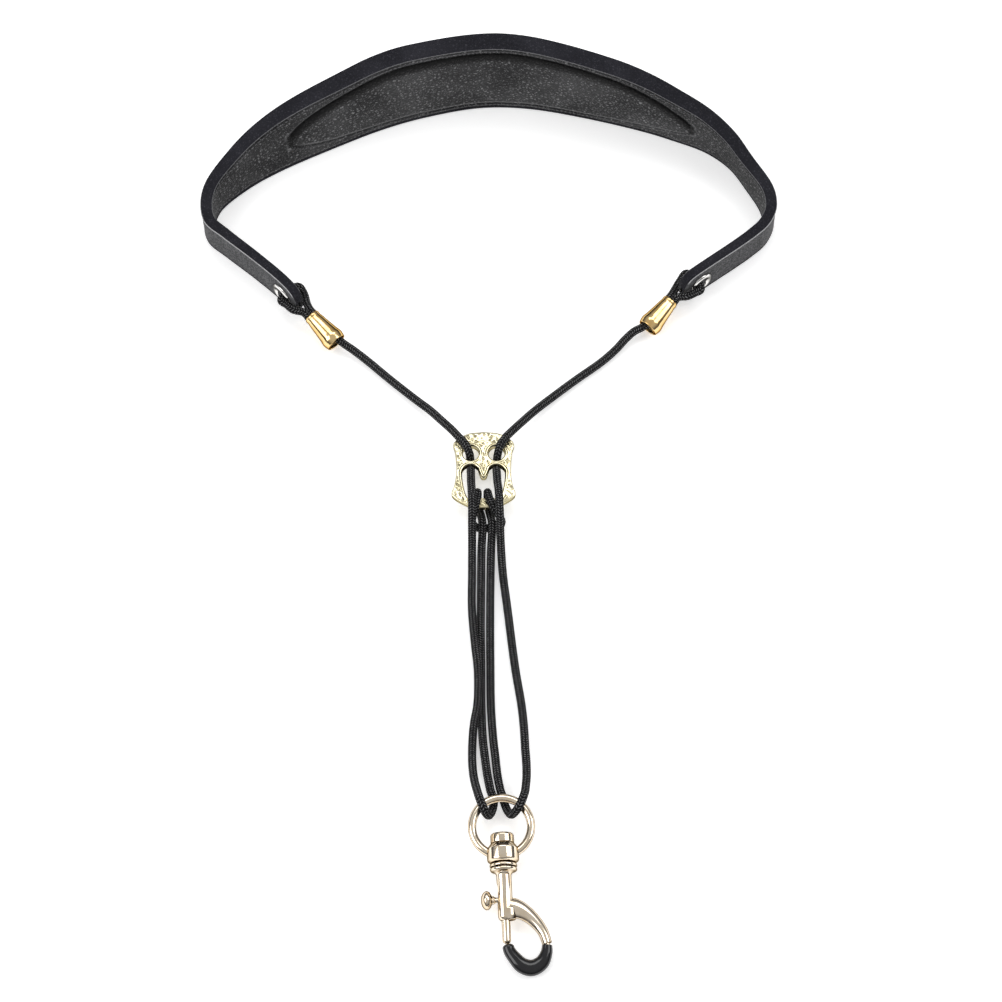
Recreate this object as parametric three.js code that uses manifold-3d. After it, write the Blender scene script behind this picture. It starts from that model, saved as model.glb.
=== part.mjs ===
// Saxophone neck strap, laid out on a table: a padded leather neck band that stands on its
// lower edge, two cord loops with bell-shaped ends, one running cord woven through a slider
// plate and round a swivel ring, and a snap hook with a sprung bolt.
// Millimetres, +Z up. The table is z = 0 and the band's back is towards +Y.

import * as THREE from "three";
import { mergeVertices } from "three/addons/utils/BufferGeometryUtils.js";
import Module from "manifold-3d";

const wasm = await Module();
wasm.setup();

// ---------------------------------------------------------------- driving dimensions

const GAP = 0.3;                 // clearance between neighbouring pieces
const CORD_D = 3.0;              // braided cord diameter
const CORD_R = CORD_D / 2;
const CORD_SIDES = 8;
const ORIGIN = new THREE.Vector3(0.07, -1.31, 0);   // the footprint's middle in the layout below

// Neck band: plan of its outer face at the lower edge, from the left tip to the right tip.
const BAND_PLAN = [
  [-70.0, 74.4], [-76.7, 81.7], [-86.7, 90.8], [-97.0, 99.4], [-104.0, 105.8],
  [-105.6, 113.2], [-103.4, 121.4], [-93.0, 132.6], [-80.2, 141.8], [-58.1, 153.9],
  [-43.5, 160.8], [-28.0, 166.2], [-4.5, 171.2], [14.7, 171.0], [38.0, 166.6],
  [59.2, 160.6], [71.6, 155.8], [84.8, 149.4], [94.4, 140.8], [100.4, 130.6],
  [105.4, 119.6], [106.0, 111.8], [103.0, 105.0], [97.7, 99.8], [91.7, 95.1],
  [85.6, 90.6], [77.9, 84.9], [71.7, 80.1],
];
const BAND_STATIONS = 46;        // equal steps along the band, shared by all its layers
const CORE_START = 5;            // station where the stiffener starts, at either end
const FOAM_START = 14;           // and the foam
const END_HEIGHT = 16;
const MIDDLE_HEIGHT = 39;
const END_THICKNESS = 3.3;
const MIDDLE_THICKNESS = 7.0;
const LEATHER = 1.2;             // leather thickness
const TIP_ROUND = 5.5;           // length over which each tip rounds off
// Degrees that the wall leans outwards at places along it, from the left tip (0) to the right (1)
const BAND_LEAN = [
  [0, 0], [0.045, 0], [0.065, 4], [0.1, 0], [0.13, 0], [0.25, 8], [0.36, 3], [0.5, 1.5],
  [0.63, -3], [0.79, -7.5], [0.855, 0], [1, 0],
];
const PAD_HALF_LENGTH = 82;      // raised cushion on the inner face, along the band
const PAD_HEIGHT_SHARE = 0.84;   // of the band's height there
const PAD_RISE = 2.8;
const LINES = 10;                // grid lines across the lining and the foam
const CORE_THICKNESS = 0.6;
const CORE_DEPTH = LEATHER + 1.5 * GAP;   // of its near face, from the band's outer face

// Eyelets in the band's ends
const EYELET_FROM_TIP = 8.0;
const EYELET_HEIGHT = 7.6;
const EYELET_FLANGE_D = 9.0;
const EYELET_TUBE_D = 5.8;
const EYELET_BORE_D = 4.7;
const FLANGE_T = 0.7;

// Bells (metal cord ends): neck and mouth centres
const BELLS = {
  left: { neck: [-64.6, 71.8, 6.2], mouth: [-55.2, 61.6, 4.3] },
  right: { neck: [66.9, 78.0, 6.2], mouth: [58.2, 67.6, 4.3] },
};
const BELL_NECK_R = 2.8;
const BELL_SWELL_R = 4.25;
const BELL_MOUTH_R = 3.85;
const BELL_RECESS_R = 3.25;
const BELL_RECESS_DEPTH = 1.4;

const LOOP_DROP = 2.4;           // how far the loop's inner leg hangs below its outer leg

// Slider plate
const SLIDER_AT = [-1.5, 8.6];   // its centre on the table
const PLATE_Z = 4.5;             // underside height
const PLATE_T = 2.5;
const HOLE_X = 4.6;
const UPPER_HOLE = { y: 7.0, r: 2.9 };
const LOWER_HOLE = { y: -0.8, r: 3.1 };
const BAR_TOP_Y = -10.6;         // upper edge of the bottom bar

// Swivel hook: local frame has its origin at the ring's centre and -Y towards the hook's end
const RING_AT = [4.9, -124.5, 6.5];
const HOOK_TILT = 4.8;           // degrees, nose down onto the table
const HOOK_TURN = 2.6;           // degrees, to the right
const RING_R = 10.0;
const RING_ROD_R = 1.42;
const HEAD_R = 4.0;              // rivet head inside the ring
const BARREL_R = 5.4;
const BARREL_TOP = -6.0;
const BARREL_END = -12.6;
const STEM_R = 1.9;
const FLANGE_R = 4.65;
const SHANK_TOP = -14.4;
const SHANK_END = -32.3;
const SHANK_W = 5.1;
const SHANK_T = 5.0;
const BORE_TOP = -16.4;
const BOLT_R = 1.45;
const BOLT_END = -40.0;
const BOLT_TRAVEL = 4.6;
const KNOB_Y = -25.2;
const BOLT_ABOVE_KNOB = 1.5;
const ARM_T = 4.1;
const NOSE_START = -40.6;        // where the dipped coating starts, on the outer arm
const COAT = 0.55;               // and its thickness
const SPRING_R = 1.25;
const SPRING_WIRE_R = 0.17;
const SPRING_TURNS = 4;

// Routes of the cords, [x, y, z] by hand. The running cord is one piece on the real strap: from
// the left bell through the slider, round the ring, hitched on the slider's bar and back.
const ROUTES = {
  cord_upper_left: [
    [-55.0, 63.4, 4.5], [-53.0, 61.7, 4.0], [-48.9, 59.2, 2.7], [-44.2, 55.6, 1.9],
    [-35.0, 47.3, 1.7], [-25.5, 38.9, 2.1], [-20.9, 34.6, 3.2], [-16.9, 29.7, 5.2],
    [-13.2, 25.0, 7.4], [-10.6, 21.4, 8.7],
  ],
  cord_weave_left: [
    [-10.6, 21.4, 8.7], [-8.0, 18.3, 8.9], [-6.6, 15.3, 7.4], [-6.3, 14.5, 4.8], [-6.2, 13.3, 2.9],
    [-6.1, 11.8, 2.4], [-6.1, 10.4, 2.9], [-6.1, 9.1, 4.8], [-6.1, 8.8, 7.0], [-6.0, 6.9, 9.0],
    [-5.9, 3.0, 10.3], [-5.7, -0.6, 11.5], [-5.6, -3.4, 11.9],
  ],
  cord_outer_left: [
    [-5.6, -3.4, 11.9], [-5.5, -6.2, 12.3], [-5.5, -9.8, 11.3], [-5.5, -14.4, 8.0],
    [-5.5, -20.5, 4.3], [-5.5, -29.0, 2.0], [-5.5, -42.5, 2.4], [-4.4, -56.6, 4.2], [-3.4, -66.0, 4.8],
    [-3.2, -73.0, 4.9], [-3.5, -80.0, 4.6], [-4.6, -86.0, 3.2], [-5.1, -92.0, 2.0],
    [-5.2, -97.5, 1.9], [-5.0, -102.2, 2.8], [-4.4, -107.2, 4.8], [-3.2, -113.0, 8.3],
  ],
  cord_ring_left: [
    [-3.2, -113.0, 8.3], [-2.3, -116.4, 10.4], [-1.2, -119.0, 9.8], [-0.3, -120.1, 7.2],
    [0.7, -119.9, 4.9], [1.6, -117.9, 3.6], [2.2, -115.0, 3.7], [1.7, -112.2, 3.5], [1.1, -110.4, 3.1],
  ],
  cord_inner_left: [
    [1.1, -110.4, 3.1], [0.1, -104.9, 2.4], [-0.9, -97.4, 1.8], [-1.6, -91.0, 1.6],
    [-2.1, -79.0, 1.6], [-2.2, -64.8, 1.6], [-2.4, -50.0, 1.6], [-2.3, -30.0, 1.7],
    [-2.2, -20.5, 2.6], [-1.9, -14.6, 4.4],
  ],
  cord_hitch: [
    [-1.9, -14.6, 4.4], [-1.9, -10.9, 4.9], [-2.4, -7.2, 3.2], [-3.3, -3.8, 2.5], [-3.6, -0.9, 3.2],
    [-3.6, 0.5, 5.8], [-3.7, -0.8, 8.3], [-3.9, -3.2, 8.9], [-4.5, -6.3, 8.7], [-5.3, -8.9, 6.5],
    [-5.5, -10.4, 4.0], [-4.0, -11.2, 1.9], [-0.3, -11.4, 1.6], [3.4, -11.2, 1.9], [4.9, -10.4, 4.0],
    [4.1, -8.9, 6.5], [2.1, -6.3, 8.7], [0.6, -3.2, 8.9], [0.0, -0.8, 8.3], [-0.1, 0.5, 5.8],
    [-0.1, -0.9, 3.2], [0.2, -3.8, 2.5], [0.9, -7.2, 3.2], [1.5, -10.9, 4.9], [1.5, -14.6, 4.4],
  ],
  cord_inner_right: [
    [1.5, -14.6, 4.4], [1.2, -20.5, 2.6], [1.0, -30.0, 1.7], [0.9, -50.0, 1.6], [1.0, -64.8, 1.6],
    [1.2, -79.0, 1.6], [2.0, -91.0, 1.6], [2.7, -97.4, 1.8], [3.5, -104.9, 2.4], [4.5, -110.4, 3.1],
  ],
  cord_ring_right: [
    [4.5, -110.4, 3.1], [5.1, -112.2, 3.5], [5.8, -115.0, 3.7], [6.9, -117.8, 3.6],
    [8.1, -119.6, 4.9], [9.3, -119.7, 7.3], [10.7, -118.6, 9.9], [12.0, -115.9, 10.4], [12.9, -112.4, 8.2],
  ],
  cord_outer_right: [
    [12.9, -112.4, 8.2], [13.4, -106.2, 4.6], [13.4, -100.8, 2.5], [13.0, -94.5, 1.8],
    [12.6, -87.1, 1.7], [11.8, -79.0, 1.7], [9.6, -64.8, 1.7], [6.9, -42.2, 1.7],
    [5.3, -29.0, 2.0], [4.7, -20.5, 4.1], [4.4, -14.4, 7.6], [4.3, -9.8, 10.8], [4.1, -6.2, 11.6],
    [4.0, -3.4, 11.6],
  ],
  cord_weave_right: [
    [4.0, -3.4, 11.6], [3.8, -0.6, 11.3], [3.4, 3.0, 10.2], [3.2, 6.9, 9.0], [3.1, 8.8, 7.0],
    [3.1, 9.1, 4.8], [3.1, 10.4, 2.9], [3.1, 11.8, 2.4], [3.2, 13.3, 2.9], [3.3, 14.5, 4.8],
    [3.6, 15.3, 7.4], [4.6, 18.3, 8.9], [6.6, 21.4, 8.7],
  ],
  cord_upper_right: [
    [6.6, 21.4, 8.7], [9.4, 25.0, 7.4], [13.2, 29.9, 5.2], [17.3, 34.8, 3.2],
    [21.8, 39.2, 2.1], [31.4, 47.3, 1.7], [41.6, 55.3, 1.7], [46.8, 60.2, 2.1], [50.1, 63.8, 2.9],
    [53.3, 66.6, 3.6], [56.0, 67.9, 4.1], [57.9, 69.1, 4.5],
  ],
};
const STEPS = {
  cord_upper_left: 12, cord_weave_left: 18, cord_outer_left: 18, cord_ring_left: 14,
  cord_inner_left: 12, cord_hitch: 32, cord_inner_right: 12, cord_ring_right: 14,
  cord_outer_right: 16, cord_weave_right: 18, cord_upper_right: 12,
};

// ---------------------------------------------------------------- materials

const leather = { color: 0x17171a, roughness: 0.62, metalness: 0 };
const lining = { color: 0x1c1c20, roughness: 0.7, metalness: 0 };
const fibre = { color: 0x3a332c, roughness: 0.9, metalness: 0 };
const foam = { color: 0x55565a, roughness: 1, metalness: 0 };
const nickel = { color: 0xc9c8c4, roughness: 0.25, metalness: 1 };
const gold = { color: 0xd9b36a, roughness: 0.22, metalness: 1 };
const paleGold = { color: 0xe3cf8e, roughness: 0.35, metalness: 1 };
const champagne = { color: 0xd8c7ae, roughness: 0.18, metalness: 1 };
const steel = { color: 0x9a9a98, roughness: 0.3, metalness: 1 };
const braid = { color: 0x101012, roughness: 0.85, metalness: 0 };
const dip = { color: 0x08080a, roughness: 0.12, metalness: 0 };

// ---------------------------------------------------------------- helpers

const rad = THREE.MathUtils.degToRad;
const lerp = THREE.MathUtils.lerp;
const smooth = (x, a, b) => THREE.MathUtils.smoothstep(x, a, b);
const vec = (p) => new THREE.Vector3(...p);

// An indexed copy with positions only, as a manifold solid
function solid(geometry) {
  const bare = geometry.clone();
  bare.deleteAttribute("normal");
  bare.deleteAttribute("uv");
  const merged = mergeVertices(bare, 1e-4);
  return new wasm.Manifold(new wasm.Mesh({
    numProp: 3,
    vertProperties: new Float32Array(merged.attributes.position.array),
    triVerts: new Uint32Array(merged.index.array),
  }));
}

function geometryOf(manifold) {
  const mesh = manifold.getMesh();
  const geometry = new THREE.BufferGeometry();
  const positions = new Float32Array(mesh.vertProperties);
  geometry.setAttribute("position", new THREE.BufferAttribute(positions, 3));
  geometry.setIndex(new THREE.BufferAttribute(new Uint32Array(mesh.triVerts), 1));
  return geometry;
}

// first with the rest joined on
function join(first, ...rest) {
  return geometryOf(rest.reduce((sum, piece) => sum.add(solid(piece)), solid(first)));
}

// body with every tool cut away
function cut(body, ...tools) {
  return geometryOf(tools.reduce((left, tool) => left.subtract(solid(tool)), solid(body)));
}

// Closed solid through a list of rings, each the same count of points. section holds one ring
// in two dimensions and only serves to fill the two end faces.
function loft(rings, section) {
  const count = section.length;
  const positions = rings.flat().flatMap((p) => [p.x, p.y, p.z]);
  const index = [];
  for (let i = 0; i < rings.length - 1; i++) {
    for (let j = 0; j < count; j++) {
      const a = i * count + j;
      const b = i * count + (j + 1) % count;
      index.push(a, b, b + count, a, b + count, a + count);
    }
  }
  const last = (rings.length - 1) * count;
  const contour = section.map((p) => p.clone());
  if (THREE.ShapeUtils.isClockWise(contour)) contour.forEach((p) => p.set(-p.x, p.y));
  for (const [a, b, c] of THREE.ShapeUtils.triangulateShape(contour, [])) {
    index.push(a, c, b);
    index.push(last + a, last + b, last + c);
  }
  const geometry = new THREE.BufferGeometry();
  geometry.setAttribute("position", new THREE.Float32BufferAttribute(positions, 3));
  geometry.setIndex(index);
  return faceOut(geometry);
}

// Turns a closed mesh's faces outwards
function faceOut(geometry) {
  const p = geometry.attributes.position;
  const index = geometry.index.array;
  const [a, b, c] = [new THREE.Vector3(), new THREE.Vector3(), new THREE.Vector3()];
  let volume = 0;
  for (let i = 0; i < index.length; i += 3) {
    a.fromBufferAttribute(p, index[i]);
    b.fromBufferAttribute(p, index[i + 1]);
    c.fromBufferAttribute(p, index[i + 2]);
    volume += a.dot(b.cross(c));
  }
  if (volume < 0) {
    for (let i = 0; i < index.length; i += 3) {
      [index[i + 1], index[i + 2]] = [index[i + 2], index[i + 1]];
    }
  }
  return geometry;
}

// Round tube along a smooth route of points, stopping half a gap short of both its ends
function tube(points, steps, radius = CORD_R, sides = CORD_SIDES) {
  const section = new THREE.Shape();
  section.absarc(0, 0, radius, 0, 2 * Math.PI);
  const route = new THREE.CatmullRomCurve3(points.map(vec));
  const trim = GAP / 2 / route.getLength();
  const at = (i) => route.getPointAt(lerp(trim, 1 - trim, i / steps));
  const stops = Array.from({ length: steps + 1 }, (_, i) => at(i));
  const extrudePath = new THREE.CatmullRomCurve3(stops);
  return new THREE.ExtrudeGeometry(section, { steps, curveSegments: sides / 2, extrudePath });
}

// Turned solid about the local Y axis from [radius, y] pairs
function turned(profile, segments = 24) {
  const points = profile.map(([r, y]) => new THREE.Vector2(r, y));
  return new THREE.LatheGeometry(points, segments);
}

const root = new THREE.Group();
root.position.copy(ORIGIN).negate();
root.position.setZ(0);

function place(name, geometry, look, parent = root) {
  const mesh = new THREE.Mesh(geometry, new THREE.MeshStandardMaterial(look));
  mesh.name = name;
  parent.add(mesh);
  return mesh;
}

// ---------------------------------------------------------------- neck band

const bandCurve = new THREE.CatmullRomCurve3(BAND_PLAN.map(([x, y]) => new THREE.Vector3(x, y, 0)));
const BAND_LENGTH = bandCurve.getLength();

// Place along the band, 0 to 1, as a distance from its middle and from the nearer tip
const fromMiddle = (u) => Math.abs(u - 0.5) * BAND_LENGTH;
const fromTip = (u) => Math.min(u, 1 - u) * BAND_LENGTH;

function bandHeight(u) {
  return lerp(MIDDLE_HEIGHT, END_HEIGHT, smooth(fromMiddle(u), 30, 138));
}

function bandThickness(u) {
  return lerp(MIDDLE_THICKNESS, END_THICKNESS, smooth(fromMiddle(u), 40, 165));
}

// Half-round tips: how much of the height is lost at the top and at the bottom
function tipInset(u) {
  const t = Math.min(fromTip(u) / TIP_ROUND, 1);
  return 0.32 * END_HEIGHT * (1 - Math.sqrt(1 - (1 - t) * (1 - t)));
}

const bandLow = (u) => tipInset(u);
const bandHigh = (u) => bandHeight(u) - tipInset(u);

// How far the wall leans outwards for each unit of height
function bandLean(u) {
  const next = Math.max(1, BAND_LEAN.findIndex(([at]) => at >= u));
  const [[start, from], [stop, to]] = BAND_LEAN.slice(next - 1, next + 1);
  return Math.tan(rad(lerp(from, to, smooth(u, start, stop))));
}

// Point of the band at u along it, height z and depth inwards from its outer face
function bandPoint(u, z, depth) {
  const p = bandCurve.getPointAt(u);
  const t = bandCurve.getTangentAt(u);
  const out = z * bandLean(u) - depth;
  return new THREE.Vector3(p.x - t.y * out, p.y + t.x * out, z);
}

// Raised cushion: 0 outside its outline, 1 over most of its face
function padShape(u, z) {
  const along = (u - 0.5) * BAND_LENGTH / PAD_HALF_LENGTH;
  const middle = bandHeight(u) / 2;
  const half = middle * PAD_HEIGHT_SHARE * Math.sqrt(Math.max(0, 1 - along ** 4));
  if (half <= 0) return 0;
  return 1 - smooth(Math.abs(z - middle), half - 3.2, half);
}

// Solid from one numbered station to another; section(u) lists its [height, depth] corners
function bandSolid(first, last, section) {
  const rings = [];
  for (let i = first; i <= last; i++) {
    const u = i / BAND_STATIONS;
    rings.push(section(u).map(([z, depth]) => bandPoint(u, z, depth)));
  }
  return loft(rings, section(0.5).map(([z, depth]) => new THREE.Vector2(z, depth)));
}

// Folded over both edges, so it is a channel that the lining closes
function outerLeather() {
  return bandSolid(0, BAND_STATIONS, (u) => {
    const low = bandLow(u);
    const high = bandHigh(u);
    const t = bandThickness(u);
    const lip = LEATHER;
    return [
      [low, 0], [high, 0], [high, t], [high - lip, t],
      [high - lip, LEATHER], [low + lip, LEATHER], [low + lip, t], [low, t],
    ];
  });
}

// Heights of the lining's grid lines at u, from its lower edge to its upper edge
function gridHeights(u, inset, count) {
  const low = bandLow(u) + inset;
  const high = bandHigh(u) - inset;
  return Array.from({ length: count }, (_, i) => lerp(low, high, i / (count - 1)));
}

function innerLeather() {
  return bandSolid(0, BAND_STATIONS, (u) => {
    const face = (z) => bandThickness(u) + PAD_RISE * padShape(u, z);
    const lines = gridHeights(u, LEATHER + GAP, LINES);
    const front = lines.map((z) => [z, face(z)]);
    const back = lines.map((z) => [z, face(z) - LEATHER]);
    return [...front, ...back.reverse()];
  });
}

// Stiffener sheet next to the outer leather
function bandCore() {
  return bandSolid(CORE_START, BAND_STATIONS - CORE_START, (u) => {
    const [low, high] = gridHeights(u, LEATHER + 3 * GAP, 2);
    const near = CORE_DEPTH;
    const far = near + Math.min(CORE_THICKNESS, bandThickness(u) - 2 * LEATHER - 2.4 * GAP);
    return [[low, near], [high, near], [high, far], [low, far]];
  });
}

// Foam that fills the band behind the raised cushion
function padFoam() {
  const near = CORE_DEPTH + CORE_THICKNESS + GAP;
  return bandSolid(FOAM_START, BAND_STATIONS - FOAM_START, (u) => {
    const lines = gridHeights(u, LEATHER + GAP, LINES).slice(1, -1);
    const far = (z) => bandThickness(u) + PAD_RISE * padShape(u, z) - LEATHER - GAP;
    const front = lines.map((z) => [z, Math.max(far(z), near + 0.4)]);
    const back = lines.map((z) => [z, near]);
    return [...back, ...front.reverse()];
  });
}

// ---------------------------------------------------------------- eyelets

const SIDES = { left: EYELET_FROM_TIP / BAND_LENGTH, right: 1 - EYELET_FROM_TIP / BAND_LENGTH };

// Where an eyelet's axis meets the outer face, and the turn that lays local Y along the axis
function eyeletFrame(side) {
  const u = SIDES[side];
  const t = bandCurve.getTangentAt(u);
  const outwards = new THREE.Vector3(-t.y, t.x, 0);
  return {
    at: bandPoint(u, EYELET_HEIGHT, 0),
    outwards,
    turn: new THREE.Quaternion().setFromUnitVectors(new THREE.Vector3(0, 1, 0), outwards),
  };
}

function toEyelet(geometry, side) {
  const { at, turn } = eyeletFrame(side);
  return geometry.applyQuaternion(turn).translate(at.x, at.y, at.z);
}

// Flanged tube, pressed through the leather from the outside
function eyelet(side) {
  const bore = EYELET_BORE_D / 2;
  const rim = EYELET_FLANGE_D / 2;
  const wall = EYELET_TUBE_D / 2;
  const inner = -END_THICKNESS - GAP - FLANGE_T;
  const profile = [
    [bore, inner], [wall, inner], [wall, GAP], [rim, GAP], [rim - 0.3, GAP + FLANGE_T],
    [bore + 0.4, GAP + FLANGE_T + 0.2], [bore, GAP + FLANGE_T - 0.2], [bore, inner],
  ];
  return toEyelet(turned(profile), side);
}

// Washer that the tube is closed over on the inside
function eyeletWasher(side) {
  const bore = EYELET_TUBE_D / 2 + GAP;
  const rim = EYELET_FLANGE_D / 2;
  const near = -END_THICKNESS - GAP;
  const far = near - FLANGE_T;
  const profile = [[bore, far], [rim, far], [rim, near], [bore, near], [bore, far]];
  return toEyelet(turned(profile), side);
}

// Drill for the eyelet's tube through the band
function eyeletDrill(side) {
  const r = EYELET_TUBE_D / 2 + GAP;
  return toEyelet(turned([[0, -12], [r, -12], [r, 4], [0, 4]]), side);
}

for (const [name, make, look] of [
  ["outer_leather", outerLeather, leather],
  ["inner_leather", innerLeather, lining],
]) {
  place(name, cut(make(), eyeletDrill("left"), eyeletDrill("right")), look);
}
place("band_core", bandCore(), fibre);
place("pad_foam", padFoam(), foam);
for (const side of ["left", "right"]) {
  place(`eyelet_${side}`, eyelet(side), nickel);
  place(`eyelet_washer_${side}`, eyeletWasher(side), nickel);
}

// ---------------------------------------------------------------- bells and cord loops

// Turned cap from neck to mouth, hollowed at the mouth where the running cord leaves it
function bell(side) {
  const neck = vec(BELLS[side].neck);
  const axis = vec(BELLS[side].mouth).sub(neck);
  const length = axis.length();
  const profile = [
    [0, 0], [BELL_NECK_R - 0.3, 0], [BELL_NECK_R, 0.4], [BELL_SWELL_R, length - 2.6],
    [BELL_MOUTH_R, length], [BELL_RECESS_R, length], [BELL_RECESS_R, length - BELL_RECESS_DEPTH],
    [0, length - BELL_RECESS_DEPTH],
  ];
  const turn = new THREE.Quaternion().setFromUnitVectors(new THREE.Vector3(0, 1, 0), axis.normalize());
  return turned(profile).applyQuaternion(turn).translate(neck.x, neck.y, neck.z);
}

// Loop through the eyelet and round the band's tip, both legs ending at the bell's neck
function cordLoop(side) {
  const { at, outwards } = eyeletFrame(side);
  const neck = vec(BELLS[side].neck);
  const axis = vec(BELLS[side].mouth).sub(neck).normalize();
  const across = new THREE.Vector3().crossVectors(axis, new THREE.Vector3(0, 0, 1)).normalize();
  if (across.dot(outwards) < 0) across.negate();
  const end = neck.clone().addScaledVector(axis, -1.5 * GAP);
  const bend = CORD_R + GAP + FLANGE_T + GAP + 0.3;
  const away = neck.clone().sub(at).setZ(0).normalize();
  const tip = bandPoint(side === "left" ? 0 : 1, at.z - 0.5, 0);
  const leg = (sign, face) => {
    const beside = at.clone().addScaledVector(outwards, face + sign * bend);
    const drop = sign > 0 ? 0 : LOOP_DROP;
    const pastTip = tip.clone().addScaledVector(outwards, face + sign * (CORD_R + 2 * GAP));
    return [
      beside.clone().addScaledVector(away, 0.9),
      beside.clone().addScaledVector(away, 4.6).setZ(at.z - drop),
      pastTip.setZ(pastTip.z - drop / 2),
      end.clone().addScaledVector(across, sign * 1.66),
    ];
  };
  const middle = at.clone().addScaledVector(outwards, -END_THICKNESS / 2);
  const points = [
    ...leg(1, 0).reverse(),
    middle.clone().addScaledVector(away, -0.35),
    ...leg(-1, -END_THICKNESS),
  ];
  return tube(points.map((p) => p.toArray()), 16);
}

for (const side of ["left", "right"]) {
  place(`bell_${side}`, bell(side), gold);
  place(`cord_loop_${side}`, cordLoop(side), braid);
}

for (const [name, points] of Object.entries(ROUTES)) {
  place(name, tube(points, STEPS[name]), braid);
}

// ---------------------------------------------------------------- slider

// Curved outline through its right-hand points, from the top middle down, mirrored to the left
function sliderOutline() {
  const top = [0, 15.6];
  const right = [
    [6, 14.7], [10.8, 11], [10.2, 7.5], [9.7, 0], [10.4, -5.5], [11.3, -9.2], [7.3, -12.5], [2.6, -14.2],
  ];
  const left = right.map(([x, y]) => [-x, y]).reverse();
  const curve = new THREE.SplineCurve([top, ...right, ...left, top].map(([x, y]) => new THREE.Vector2(x, y)));
  return new THREE.Shape(curve.getPoints(56).slice(0, -1));
}

// Two round lobes that open into the space above the bottom bar
function lowerOpening() {
  const { y, r } = LOWER_HOLE;
  const path = new THREE.Shape();
  path.moveTo(-HOLE_X - r, y);
  path.absarc(-HOLE_X, y, r, Math.PI, 0.12 * Math.PI, true);
  path.lineTo(0, y - 1.6);
  path.absarc(HOLE_X, y, r, 0.88 * Math.PI, 0, true);
  path.quadraticCurveTo(HOLE_X + r - 0.4, BAR_TOP_Y + 3, 5.6, BAR_TOP_Y);
  path.lineTo(-5.6, BAR_TOP_Y);
  path.quadraticCurveTo(-HOLE_X - r + 0.4, BAR_TOP_Y + 3, -HOLE_X - r, y);
  return path;
}

function sliderPlate() {
  const block = (shape, depth) => {
    return new THREE.ExtrudeGeometry(shape, { depth, bevelEnabled: false, curveSegments: 8 });
  };
  const holes = [-HOLE_X, HOLE_X].map((x) => {
    const hole = new THREE.CylinderGeometry(UPPER_HOLE.r, UPPER_HOLE.r, 3 * PLATE_T, 24);
    return hole.rotateX(Math.PI / 2).translate(x, UPPER_HOLE.y, PLATE_T / 2);
  });
  const opening = block(lowerOpening(), 3 * PLATE_T).translate(0, 0, -PLATE_T);
  const plate = cut(block(sliderOutline(), PLATE_T), opening, ...holes);
  return plate.translate(SLIDER_AT[0], SLIDER_AT[1], PLATE_Z);
}

place("slider_plate", sliderPlate(), paleGold);

// ---------------------------------------------------------------- swivel hook

const hook = new THREE.Group();
hook.position.set(...RING_AT);
hook.rotation.set(rad(HOOK_TILT), 0, rad(HOOK_TURN), "ZXY");
root.add(hook);

// Ring with the barrel that the hook turns in, bored for the rivet's stem
function swivelEye() {
  const ring = new THREE.TorusGeometry(RING_R, RING_ROD_R, 10, 36);
  const chamfer = 0.7;
  const barrel = turned([
    [0, BARREL_END], [BARREL_R - chamfer, BARREL_END], [BARREL_R, BARREL_END + chamfer],
    [BARREL_R, BARREL_TOP - 1.6], [BARREL_R - 1.2, BARREL_TOP], [0, BARREL_TOP],
  ]);
  const bore = turned([
    [0, BARREL_END - 1], [STEM_R + GAP, BARREL_END - 1], [STEM_R + GAP, BARREL_TOP + 1], [0, BARREL_TOP + 1],
  ]);
  return cut(join(ring, barrel), bore);
}

// Rivet that holds the hook in the barrel: domed head inside the ring, stem into the shank
function swivelRivet() {
  const head = BARREL_TOP + GAP;
  return turned([
    [0, SHANK_TOP + GAP + 0.2], [STEM_R, SHANK_TOP + GAP + 0.2], [STEM_R, head], [HEAD_R, head],
    [HEAD_R, head + 2.6], [HEAD_R - 0.6, head + 3.3], [0, head + 3.4],
  ]);
}

// Loose washer between barrel and shank
function swivelWasher() {
  const top = BARREL_END - GAP - 0.2;
  const bore = STEM_R + GAP;
  return turned([[bore, top - 0.9], [FLANGE_R, top - 0.9], [FLANGE_R, top], [bore, top], [bore, top - 0.9]]);
}

// Centre line and half width of the flat curved arm and of the nose, as [x, y, half width]
const ARM = [
  [1.2, -27.7, 3.4], [3.5, -28.3, 3.3], [6.6, -30.0, 2.75], [9.9, -33.2, 2.2], [12.2, -36.7, 1.85],
  [13.4, NOSE_START, 1.65],
];
const NOSE = [
  [13.4, NOSE_START, 1.65], [13.0, -43.7, 2.0], [11.2, -47.0, 2.5], [7.9, -48.6, 2.75],
  [4.7, -47.6, 2.65], [2.4, -45.1, 2.3], [0.7, -42.5, 2.05], [0.2, BOLT_END - 0.1, 1.95],
];

// Oval bar along a centre line, drawn in all round by inset, from start to stop along it
function ovalBar(line, thickness, inset, start, stop, steps) {
  const centre = new THREE.SplineCurve(line.map(([x, y]) => new THREE.Vector2(x, y)));
  const width = new THREE.SplineCurve(line.map(([, , w], i) => new THREE.Vector2(i, w)));
  const corners = Array.from({ length: 12 }, (_, i) => 2 * Math.PI * (i + 0.5) / 12);
  const rings = [];
  for (let i = 0; i <= steps; i++) {
    const t = lerp(start, stop, i / steps);
    const p = centre.getPoint(t);
    const d = centre.getTangent(t);
    const w = width.getPoint(t).y - inset;
    const h = thickness / 2 - inset;
    rings.push(corners.map((a) => new THREE.Vector3(
      p.x - d.y * w * Math.cos(a), p.y + d.x * w * Math.cos(a), h * Math.sin(a))));
  }
  return loft(rings, corners.map((a) => new THREE.Vector2(Math.cos(a), Math.sin(a))));
}

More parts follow.
